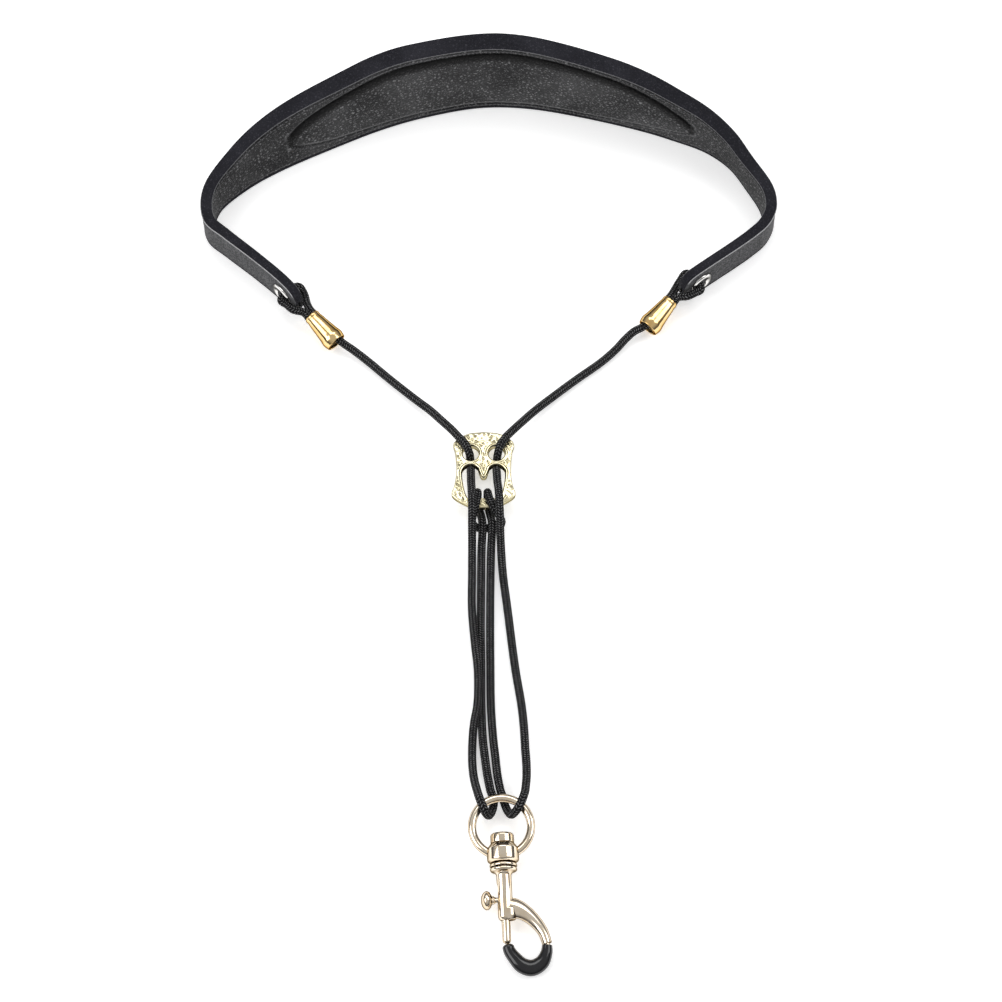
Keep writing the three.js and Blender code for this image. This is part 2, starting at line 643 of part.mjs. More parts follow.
function hookBody() {
  const flange = turned([
    [0, SHANK_TOP - 1.6], [3.2, SHANK_TOP - 1.6], [FLANGE_R, SHANK_TOP - 1.0], [FLANGE_R, SHANK_TOP],
    [0, SHANK_TOP],
  ]);
  const shank = turned([
    [0, SHANK_END], [SHANK_W / 2 - 0.3, SHANK_END], [SHANK_W / 2, SHANK_END + 0.4],
    [SHANK_W / 2, SHANK_TOP - 1.2], [0, SHANK_TOP - 1.2],
  ]).scale(1, 1, SHANK_T / SHANK_W);
  const arm = ovalBar(ARM, ARM_T, 0, 0, 1, 12);
  const core = ovalBar(NOSE, ARM_T, COAT + GAP, 0, 0.93, 16);
  const link = new THREE.BoxGeometry(1.2, 1.2, 1.6).translate(13.4, NOSE_START, 0);
  const bore = turned([
    [0, SHANK_END - 1], [BOLT_R + GAP, SHANK_END - 1], [BOLT_R + GAP, BORE_TOP], [0, BORE_TOP],
  ], 20);
  const slotTop = KNOB_Y + BOLT_TRAVEL + 1.1 + GAP;
  const slotEnd = KNOB_Y - 1.1 - GAP;
  const slot = new THREE.BoxGeometry(4, slotTop - slotEnd, 2.2 + 2 * GAP);
  slot.translate(-2.6, (slotTop + slotEnd) / 2, 0);
  return cut(join(flange, shank, arm, core, link), bore, slot);
}

// Dipped coating round the nose, open where the metal arm enters it
function hookCoating() {
  const skin = ovalBar(NOSE, ARM_T, 0, 0.035, 1, 20);
  const hollow = ovalBar(NOSE, ARM_T, COAT, 0, 0.95, 20);
  return cut(skin, hollow);
}

// Bolt that closes the hook, with a cross hole for the thumb knob
function bolt() {
  const top = KNOB_Y + BOLT_ABOVE_KNOB;
  const rod = turned([
    [0, BOLT_END], [BOLT_R - 0.5, BOLT_END], [BOLT_R, BOLT_END + 0.5], [BOLT_R, top], [0, top],
  ], 20);
  const socket = new THREE.CylinderGeometry(0.7 + GAP, 0.7 + GAP, 2, 12);
  socket.rotateZ(Math.PI / 2).translate(-BOLT_R, KNOB_Y, 0);
  return cut(rod, socket);
}

// Domed thumb knob, its stem through the shank's slot into the bolt
function thumbKnob() {
  const knob = turned([
    [0, 0.9], [0.7, 0.9], [0.7, 1.9], [1.1, 1.9], [1.1, 3.4], [2.2, 4.5], [3.1, 5.0], [3.15, 6.0],
    [2.6, 7.2], [1.5, 7.9], [0, 8.1],
  ]);
  return knob.rotateZ(Math.PI / 2).translate(0, KNOB_Y, 0);
}

// Coil spring between the bolt and the end of the bore
function boltSpring() {
  const low = KNOB_Y + BOLT_ABOVE_KNOB + GAP + SPRING_WIRE_R;
  const high = BORE_TOP - GAP - SPRING_WIRE_R;
  const perTurn = 8;
  const points = Array.from({ length: SPRING_TURNS * perTurn + 1 }, (_, i) => {
    const angle = 2 * Math.PI * i / perTurn;
    const y = lerp(low, high, i / (SPRING_TURNS * perTurn));
    return [SPRING_R * Math.cos(angle), y, SPRING_R * Math.sin(angle)];
  });
  return tube(points, SPRING_TURNS * perTurn, SPRING_WIRE_R, 4);
}

for (const [name, make, look] of [
  ["swivel_eye", swivelEye, champagne],
  ["swivel_rivet", swivelRivet, champagne],
  ["swivel_washer", swivelWasher, champagne],
  ["hook_body", hookBody, champagne],
  ["hook_coating", hookCoating, dip],
  ["bolt", bolt, champagne],
  ["thumb_knob", thumbKnob, champagne],
  ["bolt_spring", boltSpring, steel],
]) {
  place(name, make(), look, hook);
}

export default root;
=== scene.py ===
# Saxophone neck strap: the looks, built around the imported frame. Metres, +Z up.
# A padded leather band stands on its lower edge, with cord loops, bells, one running cord,
# a slider and a swivel snap hook lying on the floor in front of it.

from math import copysign, cos, exp, hypot, pi, radians, sin, sqrt, tan

import bmesh
import bpy
from mathutils import Matrix, Vector, noise


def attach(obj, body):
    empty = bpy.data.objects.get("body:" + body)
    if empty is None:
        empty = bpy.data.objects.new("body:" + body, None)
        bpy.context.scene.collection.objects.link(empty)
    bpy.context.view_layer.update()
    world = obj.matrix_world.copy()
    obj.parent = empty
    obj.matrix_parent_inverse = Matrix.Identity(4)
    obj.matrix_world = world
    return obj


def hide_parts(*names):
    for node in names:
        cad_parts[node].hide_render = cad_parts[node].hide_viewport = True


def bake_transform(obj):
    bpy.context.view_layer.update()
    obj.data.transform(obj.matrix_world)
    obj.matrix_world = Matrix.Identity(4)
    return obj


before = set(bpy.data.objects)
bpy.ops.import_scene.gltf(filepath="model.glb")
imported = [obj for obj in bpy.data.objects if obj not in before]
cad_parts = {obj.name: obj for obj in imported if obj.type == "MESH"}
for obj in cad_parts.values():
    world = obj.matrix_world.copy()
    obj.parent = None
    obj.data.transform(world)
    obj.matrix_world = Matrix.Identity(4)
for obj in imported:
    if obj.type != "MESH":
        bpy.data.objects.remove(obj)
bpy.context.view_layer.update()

# ---- driving dimensions

# The layout's points (BAND_PLAN, BELLS, SLIDER_AT, RING_AT and ROUTES) are in millimetres. All
# other sizes are in metres.
MM = 0.001
ORIGIN = Vector((0.00007, -0.00131, 0))  # the frame's origin in the layout
UP = Vector((0, 0, 1))

CORD_R = 0.0015
CORD_STEP = 0.00022  # ring spacing along a braided cord
CORD_SIDES = 32
CARRIERS = 8  # braid columns round the cord
PICK = 0.00088  # length of one braid cell
BRAID_SLANT = 0.9  # cells that a yarn moves along the cord across one column
BELL_INSERT = 0.0004  # how far the running cord starts inside a bell's mouth

# Plan of the band's outer face at its lower edge, from tip to tip. It follows the band in the
# photo, put on the table with the fitted camera and then adjusted.
BAND_PLAN = [
    (-70.0, 74.4), (-76.7, 81.7), (-86.7, 90.8), (-97.0, 99.4), (-104.0, 105.8), (-105.6, 113.2),
    (-103.4, 121.4), (-93.0, 132.6), (-80.2, 141.8), (-58.1, 153.9), (-43.5, 160.8), (-28.0, 166.2),
    (-4.5, 171.2), (14.7, 171.0), (38.0, 166.6), (59.2, 160.6), (71.6, 155.8), (84.8, 149.4),
    (94.4, 140.8), (100.4, 130.6), (105.4, 119.6), (106.0, 111.8), (103.0, 105.0), (97.7, 99.8),
    (91.7, 95.1), (85.6, 90.6), (77.9, 84.9), (71.7, 80.1),
]
# (place along the band, degrees) that the wall leans outwards.
BAND_LEAN = [
    (0, 0), (0.13, 0), (0.25, 8), (0.36, 3), (0.5, 1.5),
    (0.63, -3), (0.79, -7.5), (0.855, 0), (1, 0),
]
BAND_STATIONS = 300
END_HEIGHT = 0.016
MIDDLE_HEIGHT = 0.039
END_THICKNESS = 0.0033
MIDDLE_THICKNESS = 0.007
LEATHER = 0.0012
TIP_ROUND = 0.0055
PAD_HALF_LENGTH = 0.082
PAD_HEIGHT_SHARE = 0.80
PAD_RISE = 0.0019
PAD_BEVEL = 0.0042  # width of the cushion's rounded shoulder
STITCH_PITCH = 0.0017

EYELET_FROM_TIP = 0.008
EYELET_HEIGHT = 0.0076
# Middle of each bell's neck and of its mouth.
BELLS = {
    "left": ((-64.6, 71.8, 6.2), (-55.2, 61.6, 4.3)),
    "right": ((66.9, 78.0, 6.2), (58.2, 67.6, 4.3)),
}
LOOP_DROP = 0.0031

SLIDER_AT = (-1.5, 8.6, 5.75)  # middle of the plate
PLATE_T = 0.0025

RING_AT = (4.9, -124.5, 6.5)
HOOK_TILT = radians(4.8)
HOOK_TURN = radians(2.6)

# Routes of the cords. x and y follow the cord in the photo, put on the table with the fitted
# camera and then adjusted. Heights and hidden stretches are by judgement. The running cord goes
# from the left bell through the slider, round the ring, is hitched on the slider's bottom bar and
# goes back the same way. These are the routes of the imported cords.
ROUTES = {
    "cord_upper_left": [
        (-55.0, 63.4, 4.5), (-53.0, 61.7, 4.0), (-48.9, 59.2, 2.7), (-44.2, 55.6, 1.9),
        (-35.0, 47.3, 1.7), (-25.5, 38.9, 2.1), (-20.9, 34.6, 3.2), (-16.9, 29.7, 5.2),
        (-13.2, 25.0, 7.4), (-10.6, 21.4, 8.7),
    ],
    "cord_weave_left": [
        (-10.6, 21.4, 8.7), (-8.0, 18.3, 8.9), (-6.6, 15.3, 7.4), (-6.3, 14.5, 4.8), (-6.2, 13.3, 2.9),
        (-6.1, 11.8, 2.4), (-6.1, 10.4, 2.9), (-6.1, 9.1, 4.8), (-6.1, 8.8, 7.0), (-6.0, 6.9, 9.0),
        (-5.9, 3.0, 10.3), (-5.7, -0.6, 11.5), (-5.6, -3.4, 11.9),
    ],
    "cord_outer_left": [
        (-5.6, -3.4, 11.9), (-5.5, -6.2, 12.3), (-5.5, -9.8, 11.3), (-5.5, -14.4, 8.0),
        (-5.5, -20.5, 4.3), (-5.5, -29.0, 2.0), (-5.5, -42.5, 2.4), (-4.4, -56.6, 4.2),
        (-3.4, -66.0, 4.8), (-3.2, -73.0, 4.9), (-3.5, -80.0, 4.6), (-4.6, -86.0, 3.2),
        (-5.1, -92.0, 2.0), (-5.2, -97.5, 1.9), (-5.0, -102.2, 2.8), (-4.4, -107.2, 4.8),
        (-3.2, -113.0, 8.3),
    ],
    "cord_ring_left": [
        (-3.2, -113.0, 8.3), (-2.3, -116.4, 10.4), (-1.2, -119.0, 9.8), (-0.3, -120.1, 7.2),
        (0.7, -119.9, 4.9), (1.6, -117.9, 3.6), (2.2, -115.0, 3.7), (1.7, -112.2, 3.5),
        (1.1, -110.4, 3.1),
    ],
    "cord_inner_left": [
        (1.1, -110.4, 3.1), (0.1, -104.9, 2.4), (-0.9, -97.4, 1.8), (-1.6, -91.0, 1.6),
        (-2.1, -79.0, 1.6), (-2.2, -64.8, 1.6), (-2.4, -50.0, 1.6), (-2.3, -30.0, 1.7),
        (-2.2, -20.5, 2.6), (-1.9, -14.6, 4.4),
    ],
    "cord_hitch": [
        (-1.9, -14.6, 4.4), (-1.9, -10.9, 4.9), (-2.4, -7.2, 3.2), (-3.3, -3.8, 2.5), (-3.6, -0.9, 3.2),
        (-3.6, 0.5, 5.8), (-3.7, -0.8, 8.3), (-3.9, -3.2, 8.9), (-4.5, -6.3, 8.7), (-5.3, -8.9, 6.5),
        (-5.5, -10.4, 4.0), (-4.0, -11.2, 1.9), (-0.3, -11.4, 1.6), (3.4, -11.2, 1.9), (4.9, -10.4, 4.0),
        (4.1, -8.9, 6.5), (2.1, -6.3, 8.7), (0.6, -3.2, 8.9), (0.0, -0.8, 8.3), (-0.1, 0.5, 5.8),
        (-0.1, -0.9, 3.2), (0.2, -3.8, 2.5), (0.9, -7.2, 3.2), (1.5, -10.9, 4.9), (1.5, -14.6, 4.4),
    ],
    "cord_inner_right": [
        (1.5, -14.6, 4.4), (1.2, -20.5, 2.6), (1.0, -30.0, 1.7), (0.9, -50.0, 1.6), (1.0, -64.8, 1.6),
        (1.2, -79.0, 1.6), (2.0, -91.0, 1.6), (2.7, -97.4, 1.8), (3.5, -104.9, 2.4), (4.5, -110.4, 3.1),
    ],
    "cord_ring_right": [
        (4.5, -110.4, 3.1), (5.1, -112.2, 3.5), (5.8, -115.0, 3.7), (6.9, -117.8, 3.6),
        (8.1, -119.6, 4.9), (9.3, -119.7, 7.3), (10.7, -118.6, 9.9), (12.0, -115.9, 10.4),
        (12.9, -112.4, 8.2),
    ],
    "cord_outer_right": [
        (12.9, -112.4, 8.2), (13.4, -106.2, 4.6), (13.4, -100.8, 2.5), (13.0, -94.5, 1.8),
        (12.6, -87.1, 1.7), (11.8, -79.0, 1.7), (9.6, -64.8, 1.7), (6.9, -42.2, 1.7), (5.3, -29.0, 2.0),
        (4.7, -20.5, 4.1), (4.4, -14.4, 7.6), (4.3, -9.8, 10.8), (4.1, -6.2, 11.6), (4.0, -3.4, 11.6),
    ],
    "cord_weave_right": [
        (4.0, -3.4, 11.6), (3.8, -0.6, 11.3), (3.4, 3.0, 10.2), (3.2, 6.9, 9.0), (3.1, 8.8, 7.0),
        (3.1, 9.1, 4.8), (3.1, 10.4, 2.9), (3.1, 11.8, 2.4), (3.2, 13.3, 2.9), (3.3, 14.5, 4.8),
        (3.6, 15.3, 7.4), (4.6, 18.3, 8.9), (6.6, 21.4, 8.7),
    ],
    "cord_upper_right": [
        (6.6, 21.4, 8.7), (9.4, 25.0, 7.4), (13.2, 29.9, 5.2), (17.3, 34.8, 3.2), (21.8, 39.2, 2.1),
        (31.4, 47.3, 1.7), (41.6, 55.3, 1.7), (46.8, 60.2, 2.1), (50.1, 63.8, 2.9), (53.3, 66.6, 3.6),
        (56.0, 67.9, 4.1), (57.9, 69.1, 4.5),
    ],
}


def placed(point):
    """A layout point, given in millimetres, in the frame's coordinates."""
    return Vector([value * MM for value in point]) - ORIGIN


def linked(name, data):
    """A new object with this data, in the scene."""
    made = bpy.data.objects.new(name, data)
    bpy.context.scene.collection.objects.link(made)
    return made


# ---- camera

def make_camera():
    """Looks down at the floor from the front, as a product picture is taken."""
    elevation = radians(65)
    distance = 1.1
    target = placed((4.7, 0, 0))
    data = bpy.data.cameras.new("camera")
    data.lens = 110.7
    data.sensor_width = 36
    camera = linked("camera", data)
    camera.location = target + distance * Vector((0, -cos(elevation), sin(elevation)))
    camera.rotation_euler = (pi / 2 - elevation, 0, 0)
    bpy.context.scene.camera = camera


make_camera()

# ---- node helpers


def open_tree(tree):
    """Empties a node tree; the helpers below add to the one opened last."""
    global TREE
    TREE = tree
    TREE.nodes.clear()


def new_material(name):
    """A node material, whose tree is now the open one, and the object's coordinates."""
    look = bpy.data.materials.new(name)
    look.use_nodes = True
    open_tree(look.node_tree)
    return look, add("TexCoord").outputs["Object"]


def add(kind, inputs=None, **settings):
    """A shader node; an input is a socket to link or a plain value."""
    made = TREE.nodes.new("ShaderNode" + kind)
    for key, value in settings.items():
        setattr(made, key, value)
    for key, value in (inputs or {}).items():
        if isinstance(value, bpy.types.NodeSocket):
            TREE.links.new(value, made.inputs[key])
        else:
            made.inputs[key].default_value = value
    return made


def calc(operation, *values):
    return add("Math", dict(enumerate(values)), operation=operation).outputs[0]


def spread(value, low, high, to_low=0.0, to_high=1.0):
    """value mapped smoothly from low..high to to_low..to_high."""
    inputs = {"Value": value, "From Min": low, "From Max": high, "To Min": to_low, "To Max": to_high}
    return add("MapRange", inputs, interpolation_type="SMOOTHSTEP").outputs[0]


def mix_colour(factor, a, b):
    return add("Mix", {0: factor, 6: a, 7: b}, data_type="RGBA").outputs[2]


def bumped(height, strength, distance):
    return add("Bump", {"Height": height, "Strength": strength, "Distance": distance}).outputs[0]


def attribute(name, output="Fac"):
    return add("Attribute", attribute_name=name).outputs[output]


def finished(look, inputs):
    """The material, with a principled shader as its surface."""
    shader = add("BsdfPrincipled", inputs)
    add("OutputMaterial", {"Surface": shader.outputs[0]})
    return look


def noise_at(coords, size, detail=2.0):
    """Noise whose features are about size metres wide."""
    return add("TexNoise", {"Vector": coords, "Scale": 1 / size, "Detail": detail}).outputs["Fac"]


def rgb(red, green, blue, share=1.0):
    """A colour, or a share of it, with full alpha."""
    return red * share, green * share, blue * share, 1.0


# ---- materials


def metal(name, colour, shade, roughness, patina=None):
    """Plated metal: faint mottling, wiping marks, tiny dents and painted shade on edges seen at a grazing
    angle. patina names a height attribute.
    """
    look, coords = new_material(name)
    mottle = noise_at(coords, 0.004, 4.0)
    base = mix_colour(spread(mottle, 0.35, 0.7), rgb(*colour), rgb(*shade))
    if patina:
        height = spread(attribute(patina), 0.25, 0.75)
        base = mix_colour(height, rgb(*shade, 0.42), base)
    # Painted shade: the colour darkens on edges seen at a grazing angle, in place of dark reflections
    # there.
    facing = add("LayerWeight", {"Blend": 0.5}).outputs["Facing"]
    base = mix_colour(spread(facing, 0.35, 0.85), base, rgb(*shade, 0.30))
    stretched = add("Mapping", {"Vector": coords, "Scale": (1.0, 9.0, 1.0)}).outputs[0]
    wiping = noise_at(stretched, 0.0016, 5.0)
    dents = noise_at(coords, 0.0009, 3.0)
    return finished(look, {
        "Base Color": base, "Metallic": 1.0, "Normal": bumped(dents, 0.05, 0.0001),
        "Roughness": spread(wiping, 0.3, 0.8, roughness * 0.75, roughness * 1.5),
        "Specular Tint": rgb(*shade, 0.4),
    })


def leather(name, colour, light, grain, roughness, strength, painted_glint, gloss, tone=None):
    """Pebbled leather: painted highlight glints on the pebbles' crowns, none in the creases, and soft
    wear. tone names an attribute of painted shade and highlight.
    """
    look, coords = new_material(name)
    wobble = add("TexNoise", {"Vector": coords, "Scale": 1 / 0.003}).outputs["Color"]
    bent = add("VectorMath", {0: wobble, "Scale": 0.0009}, operation="SCALE").outputs[0]
    shifted = add("VectorMath", {0: coords, 1: bent}, operation="ADD").outputs[0]
    cells = add("TexVoronoi", {"Vector": shifted, "Scale": 1 / grain}, feature="DISTANCE_TO_EDGE")
    crowns = spread(cells.outputs["Distance"], 0.02, 0.32)
    pores = noise_at(coords, 0.00035, 2.0)
    wear = spread(noise_at(coords, 0.02, 3.0), 0.35, 0.75)
    # Painted highlight: light glints on the pebbles' crowns.
    glint = calc("MULTIPLY", spread(noise_at(shifted, 0.0009, 1.0), 0.46, 0.66), crowns)
    # The mix toward the light colour is the painted glints plus real soft wear.
    shade = calc("MULTIPLY_ADD", glint, painted_glint, calc("MULTIPLY", wear, 0.18))
    base = mix_colour(shade, rgb(*colour), rgb(*light))
    # Painted shade and highlight from the tone attribute: darker below 0.5, lighter above it.
    if tone:
        value = attribute(tone)
        base = mix_colour(spread(value, 0.0, 0.5), rgb(*colour, 0.25), base)
        base = mix_colour(spread(value, 0.5, 1.0, 0.0, 0.7), base, rgb(*light))
    height = calc("MULTIPLY_ADD", pores, 0.25, crowns)
    return finished(look, {
        "Base Color": base, "Roughness": spread(crowns, 0.0, 1.0, roughness + 0.2, roughness),
        "Normal": bumped(height, strength, 0.00025), "Specular IOR Level": gloss,
    })


def suede(name, colour, light):
    """Short napped backing of the band's outer face."""
    look, coords = new_material(name)
    nap = noise_at(coords, 0.0007, 4.0)
    cloud = calc("MULTIPLY", noise_at(coords, 0.006, 2.0), 0.3)
    fibres = calc("MULTIPLY_ADD", spread(nap, 0.38, 0.66), 0.75, cloud)
    return finished(look, {
        "Base Color": mix_colour(fibres, rgb(*colour), rgb(*light)), "Roughness": 0.9,
        "Normal": bumped(nap, 0.5, 0.0002),
        "Specular IOR Level": 0.1, "Sheen Weight": 0.1, "Sheen Roughness": 0.4,
    })


def braid(name):
    """Black braided cord; the route attribute holds the length along it and the angle round it."""
    look, coords = new_material(name)
    parts = add("SeparateXYZ", {0: attribute("route", "Vector")})
    angle = calc("ARCTAN2", parts.outputs[2], parts.outputs[1])
    turn = calc("MULTIPLY_ADD", angle, CARRIERS / (2 * pi), float(CARRIERS))
    across = calc("FRACT", turn)
    odd = calc("PINGPONG", calc("FLOOR", turn), 1.0)
    slant = calc("MULTIPLY_ADD", odd, 2.0, -1.0)
    lean = calc("MULTIPLY", calc("SUBTRACT", across, 0.5), slant)
    along = calc("MULTIPLY", parts.outputs[0], 1 / PICK)
    phase = calc("FRACT", calc("ADD", calc("MULTIPLY_ADD", lean, BRAID_SLANT, along), 8.0))
    dash = calc("MULTIPLY", spread(phase, 0.28, 0.46), spread(phase, 0.84, 0.62))
    body = calc("MULTIPLY", spread(across, 0.06, 0.3), spread(across, 0.94, 0.7))
    yarn = calc("MULTIPLY", dash, body)
    fuzz = noise_at(coords, 0.0005, 3.0)
    # Painted highlight: the light grey dashes on the yarns' crowns stand for sheen on the black cord.
    painted_glint = calc("MULTIPLY", yarn, spread(fuzz, 0.35, 0.62, 0.25, 1.0))
    height = calc("MULTIPLY_ADD", fuzz, 0.3, yarn)
    return finished(look, {
        "Base Color": mix_colour(painted_glint, rgb(0.0020, 0.0020, 0.0024), rgb(0.22, 0.22, 0.225)),
        "Roughness": 0.7, "Normal": bumped(height, 0.5, 0.00015), "Specular IOR Level": 0.1,
    })


def plain(name, colour, light, size, detail, roughness, contrast=None, bump=None, **more):
    """A look of two tones that follow one noise; roughness is a value, or a pair that follows it."""
    look, coords = new_material(name)
    grain = noise_at(coords, size, detail)
    if isinstance(roughness, tuple):
        roughness = spread(grain, 0.3, 0.7, *roughness)
    inputs = {"Roughness": roughness, **more}
    if bump:
        inputs["Normal"] = bumped(grain, *bump)
    tone = spread(grain, *contrast) if contrast else grain
    return finished(look, {"Base Color": mix_colour(tone, rgb(*colour), rgb(*light)), **inputs})


def thread(name, colour, light):
    """Twisted sewing thread; also the look of a light bead painted as a highlight line along the outer top
    edge.
    """
    return plain(name, colour, light, 0.0003, 2.0, 0.55, (0.3, 0.7), (0.4, 0.0001))


BRAID = braid("braid")
EDGE_LEATHER = leather("edge_leather", (0.007, 0.007, 0.011), (0.06, 0.06, 0.075),
                       grain=0.0008, roughness=0.5, strength=0.4, painted_glint=0.4, gloss=0.18)
# The lining and the cushion carry painted shade and highlight in their tone attribute.
LINING = leather("lining_leather", (0.009, 0.009, 0.010), (0.19, 0.19, 0.195),
                 grain=0.0013, roughness=0.5, strength=0.8, painted_glint=0.8, gloss=0.22, tone="tone")
CUSHION = leather("cushion_leather", (0.010, 0.010, 0.011), (0.21, 0.21, 0.215),
                  grain=0.0014, roughness=0.48, strength=0.8, painted_glint=0.8, gloss=0.22, tone="tone")
SUEDE = suede("outer_suede", (0.025, 0.025, 0.027), (0.13, 0.13, 0.135))
THREAD = thread("grey_thread", (0.05, 0.05, 0.055), (0.17, 0.17, 0.18))
# Painted highlight: a light bead stands for the highlight line along the outer face's top edge.
TOP_EDGE_HIGHLIGHT = thread("painted_edge_highlight", (0.30, 0.30, 0.31), (0.62, 0.62, 0.63))
NICKEL = metal("nickel", (0.86, 0.85, 0.83), (0.74, 0.73, 0.71), 0.16)
GOLD = metal("gold", (0.92, 0.68, 0.34), (0.83, 0.55, 0.22), 0.12)
PALE_GOLD = metal("pale_gold", (0.95, 0.88, 0.62), (0.88, 0.78, 0.48), 0.24, patina="relief")
CHAMPAGNE = metal("champagne", (0.90, 0.79, 0.64), (0.84, 0.69, 0.50), 0.10)
STEEL = metal("spring_steel", (0.58, 0.58, 0.57), (0.45, 0.45, 0.44), 0.3)
# Thick glossy dip, slightly orange-peeled, and the stiff sheet inside the band.
DIP = plain("black_dip", (0.004, 0.004, 0.005), (0.010, 0.010, 0.012), 0.0022, 2.0, (0.08, 0.16), None,
            (0.08, 0.0003), **{"Specular IOR Level": 0.3, "Coat Weight": 0.5, "Coat Roughness": 0.03})
FIBRE = plain("fibreboard", (0.05, 0.04, 0.03), (0.2, 0.16, 0.12), 0.0012, 5.0, 0.92)

# ---- mesh helpers


def lerp(a, b, t):
    return a + (b - a) * t


def smooth(x, low, high):
    t = min(max((x - low) / (high - low), 0.0), 1.0)
    return t * t * (3 - 2 * t)


def turns(count):
    """Angles at equal steps round a circle."""
    return [2 * pi * k / count for k in range(count)]


def make(name, verts, faces, look, angle=38, merge=1e-7):
    """A closed mesh object with its faces turned outwards, smooth up to an angle in degrees."""
    mesh = bpy.data.meshes.new(name)
    mesh.from_pydata([tuple(v) for v in verts], [], faces)
    body = bmesh.new()
    body.from_mesh(mesh)
    bmesh.ops.remove_doubles(body, verts=body.verts, dist=merge)
    bmesh.ops.recalc_face_normals(body, faces=body.faces)
    body.to_mesh(mesh)
    body.free()
    mesh.materials.append(look)
    mesh.shade_smooth()
    mesh.set_sharp_from_angle(angle=radians(angle))
    return linked(name, mesh)


def evaluated(piece):
    """The piece's mesh with its modifiers applied."""
    bpy.context.view_layer.update()
    return bpy.data.meshes.new_from_object(piece.evaluated_get(bpy.context.evaluated_depsgraph_get()))


def skin(rings, caps=True):
    """Vertices and faces of a skin through equal rings."""
    count = len(rings[0])
    verts = [v for ring in rings for v in ring]
    faces = []
    for i in range(len(rings) - 1):
        for j in range(count):
            a, b = i * count + j, i * count + (j + 1) % count
            faces.append((a, b, b + count, a + count))
    if caps:
        faces.append(tuple(reversed(range(count))))
        faces.append(tuple(range(len(verts) - count, len(verts))))
    return verts, faces


def merged(*shapes):
    """Several (verts, faces) as one."""
    verts, faces = [], []
    for more_verts, more_faces in shapes:
        start = len(verts)
        verts += more_verts
        faces += [tuple(i + start for i in face) for face in more_faces]
    return verts, faces


def moved(shape, matrix):
    return [matrix @ v for v in shape[0]], shape[1]


def bent(a, corner, b, count):
    """Points on a quadratic curve, with its ends."""
    steps = (k / count for k in range(count + 1))
    return [(1 - t) ** 2 * Vector(a) + 2 * t * (1 - t) * Vector(corner) + t * t * Vector(b) for t in steps]


def corner_curve(before, corner, after, radius, steps):
    """A rounded corner that takes less than half of each side."""
    before, corner, after = Vector(before), Vector(corner), Vector(after)
    size = min(radius, (corner - before).length * 0.45, (after - corner).length * 0.45)
    start = corner + (before - corner).normalized() * size
    end = corner + (after - corner).normalized() * size
    return bent(start, corner, end, steps)


def turned(profile, segments, fillet):
    """Solid turned about the local Y axis from (radius, y) points, with rounded corners."""
    line = [Vector(profile[0])]
    for before, corner, after in zip(profile, profile[1:], profile[2:]):
        line += corner_curve(before, corner, after, fillet, 4)
    line.append(Vector(profile[-1]))
    count = len(line)
    verts = [Vector((p.x * cos(a), p.y, p.x * sin(a))) for a in turns(segments) for p in line]
    faces = []
    for k in range(segments):
        for j in range(count - 1):
            a, b = k * count + j, (k + 1) % segments * count + j
            faces.append((a, a + 1, b + 1, b))
    return verts, faces


def catmull(points, per=16):
    """Dense points on a centripetal Catmull-Rom curve through the given ones."""
    given = [Vector(p) for p in points]
    ends = [2 * given[0] - given[1], *given, 2 * given[-1] - given[-2]]
    out = []
    for p0, p1, p2, p3 in zip(ends, ends[1:], ends[2:], ends[3:]):
        t0, t1, t2 = ((b - a).length ** 0.5 for a, b in ((p0, p1), (p1, p2), (p2, p3)))
        m1 = ((p1 - p0) / t0 - (p2 - p0) / (t0 + t1) + (p2 - p1) / t1) * t1
        m2 = ((p2 - p1) / t1 - (p3 - p1) / (t1 + t2) + (p3 - p2) / t2) * t1
        for k in range(per):
            t = k / per
            a, b = 2 * t ** 3 - 3 * t ** 2 + 1, t ** 3 - 2 * t ** 2 + t
            c, d = 3 * t ** 2 - 2 * t ** 3, t ** 3 - t ** 2
            out.append(a * p1 + b * m1 + c * p2 + d * m2)
    out.append(given[-1])
    return out


def length_of(points):
    return sum((b - a).length for a, b in zip(points, points[1:]))


def resample(points, count):
    """count + 1 points at equal steps along a polyline."""
    step = length_of(points) / count
    out, travelled, wanted = [points[0].copy()], 0.0, step
    for a, b in zip(points, points[1:]):
        size = (b - a).length
        while size > 0 and travelled + size >= wanted - 1e-12 and len(out) < count:
            out.append(a.lerp(b, (wanted - travelled) / size))
            wanted += step
        travelled += size
    out.append(points[-1].copy())
    return out


def carried_frames(path):
    """(side, up) at each point of a path, carried along it without twist."""
    tangents = [(b - a).normalized() for a, b in zip(path, path[1:])]
    tangents.append(tangents[-1])
    side = tangents[0].cross(UP).normalized()
    out = []
    previous = tangents[0]
    for tangent in tangents:
        side.rotate(previous.rotation_difference(tangent))
        side = (side - tangent * side.dot(tangent)).normalized()
        out.append((side.copy(), side.cross(tangent)))
        previous = tangent
    return out


def oval(centre, side, up, wide, high, count):
    """Points round an ellipse."""
    return [centre + side * (wide * cos(a)) + up * (high * sin(a)) for a in turns(count)]


def turned_towards(direction):
    """Rotation that brings local Y onto a direction."""
    return Vector((0, 1, 0)).rotation_difference(direction).to_matrix().to_4x4()


# ---- cords


def braid_relief(along, angle):
    """Height of the braid's surface, 0 in a valley and 1 on a yarn's crown."""
    turn = angle * CARRIERS / (2 * pi) + CARRIERS
    column, across = int(turn), turn % 1
    slant = 1 if column % 2 else -1
    phase = (along / PICK + BRAID_SLANT * (across - 0.5) * slant) % 1
    dash = smooth(phase, 0.0, 0.35) * smooth(1 - phase, 0.0, 0.35)
    return (0.35 + 0.65 * dash) * (1 - (2 * across - 1) ** 4)


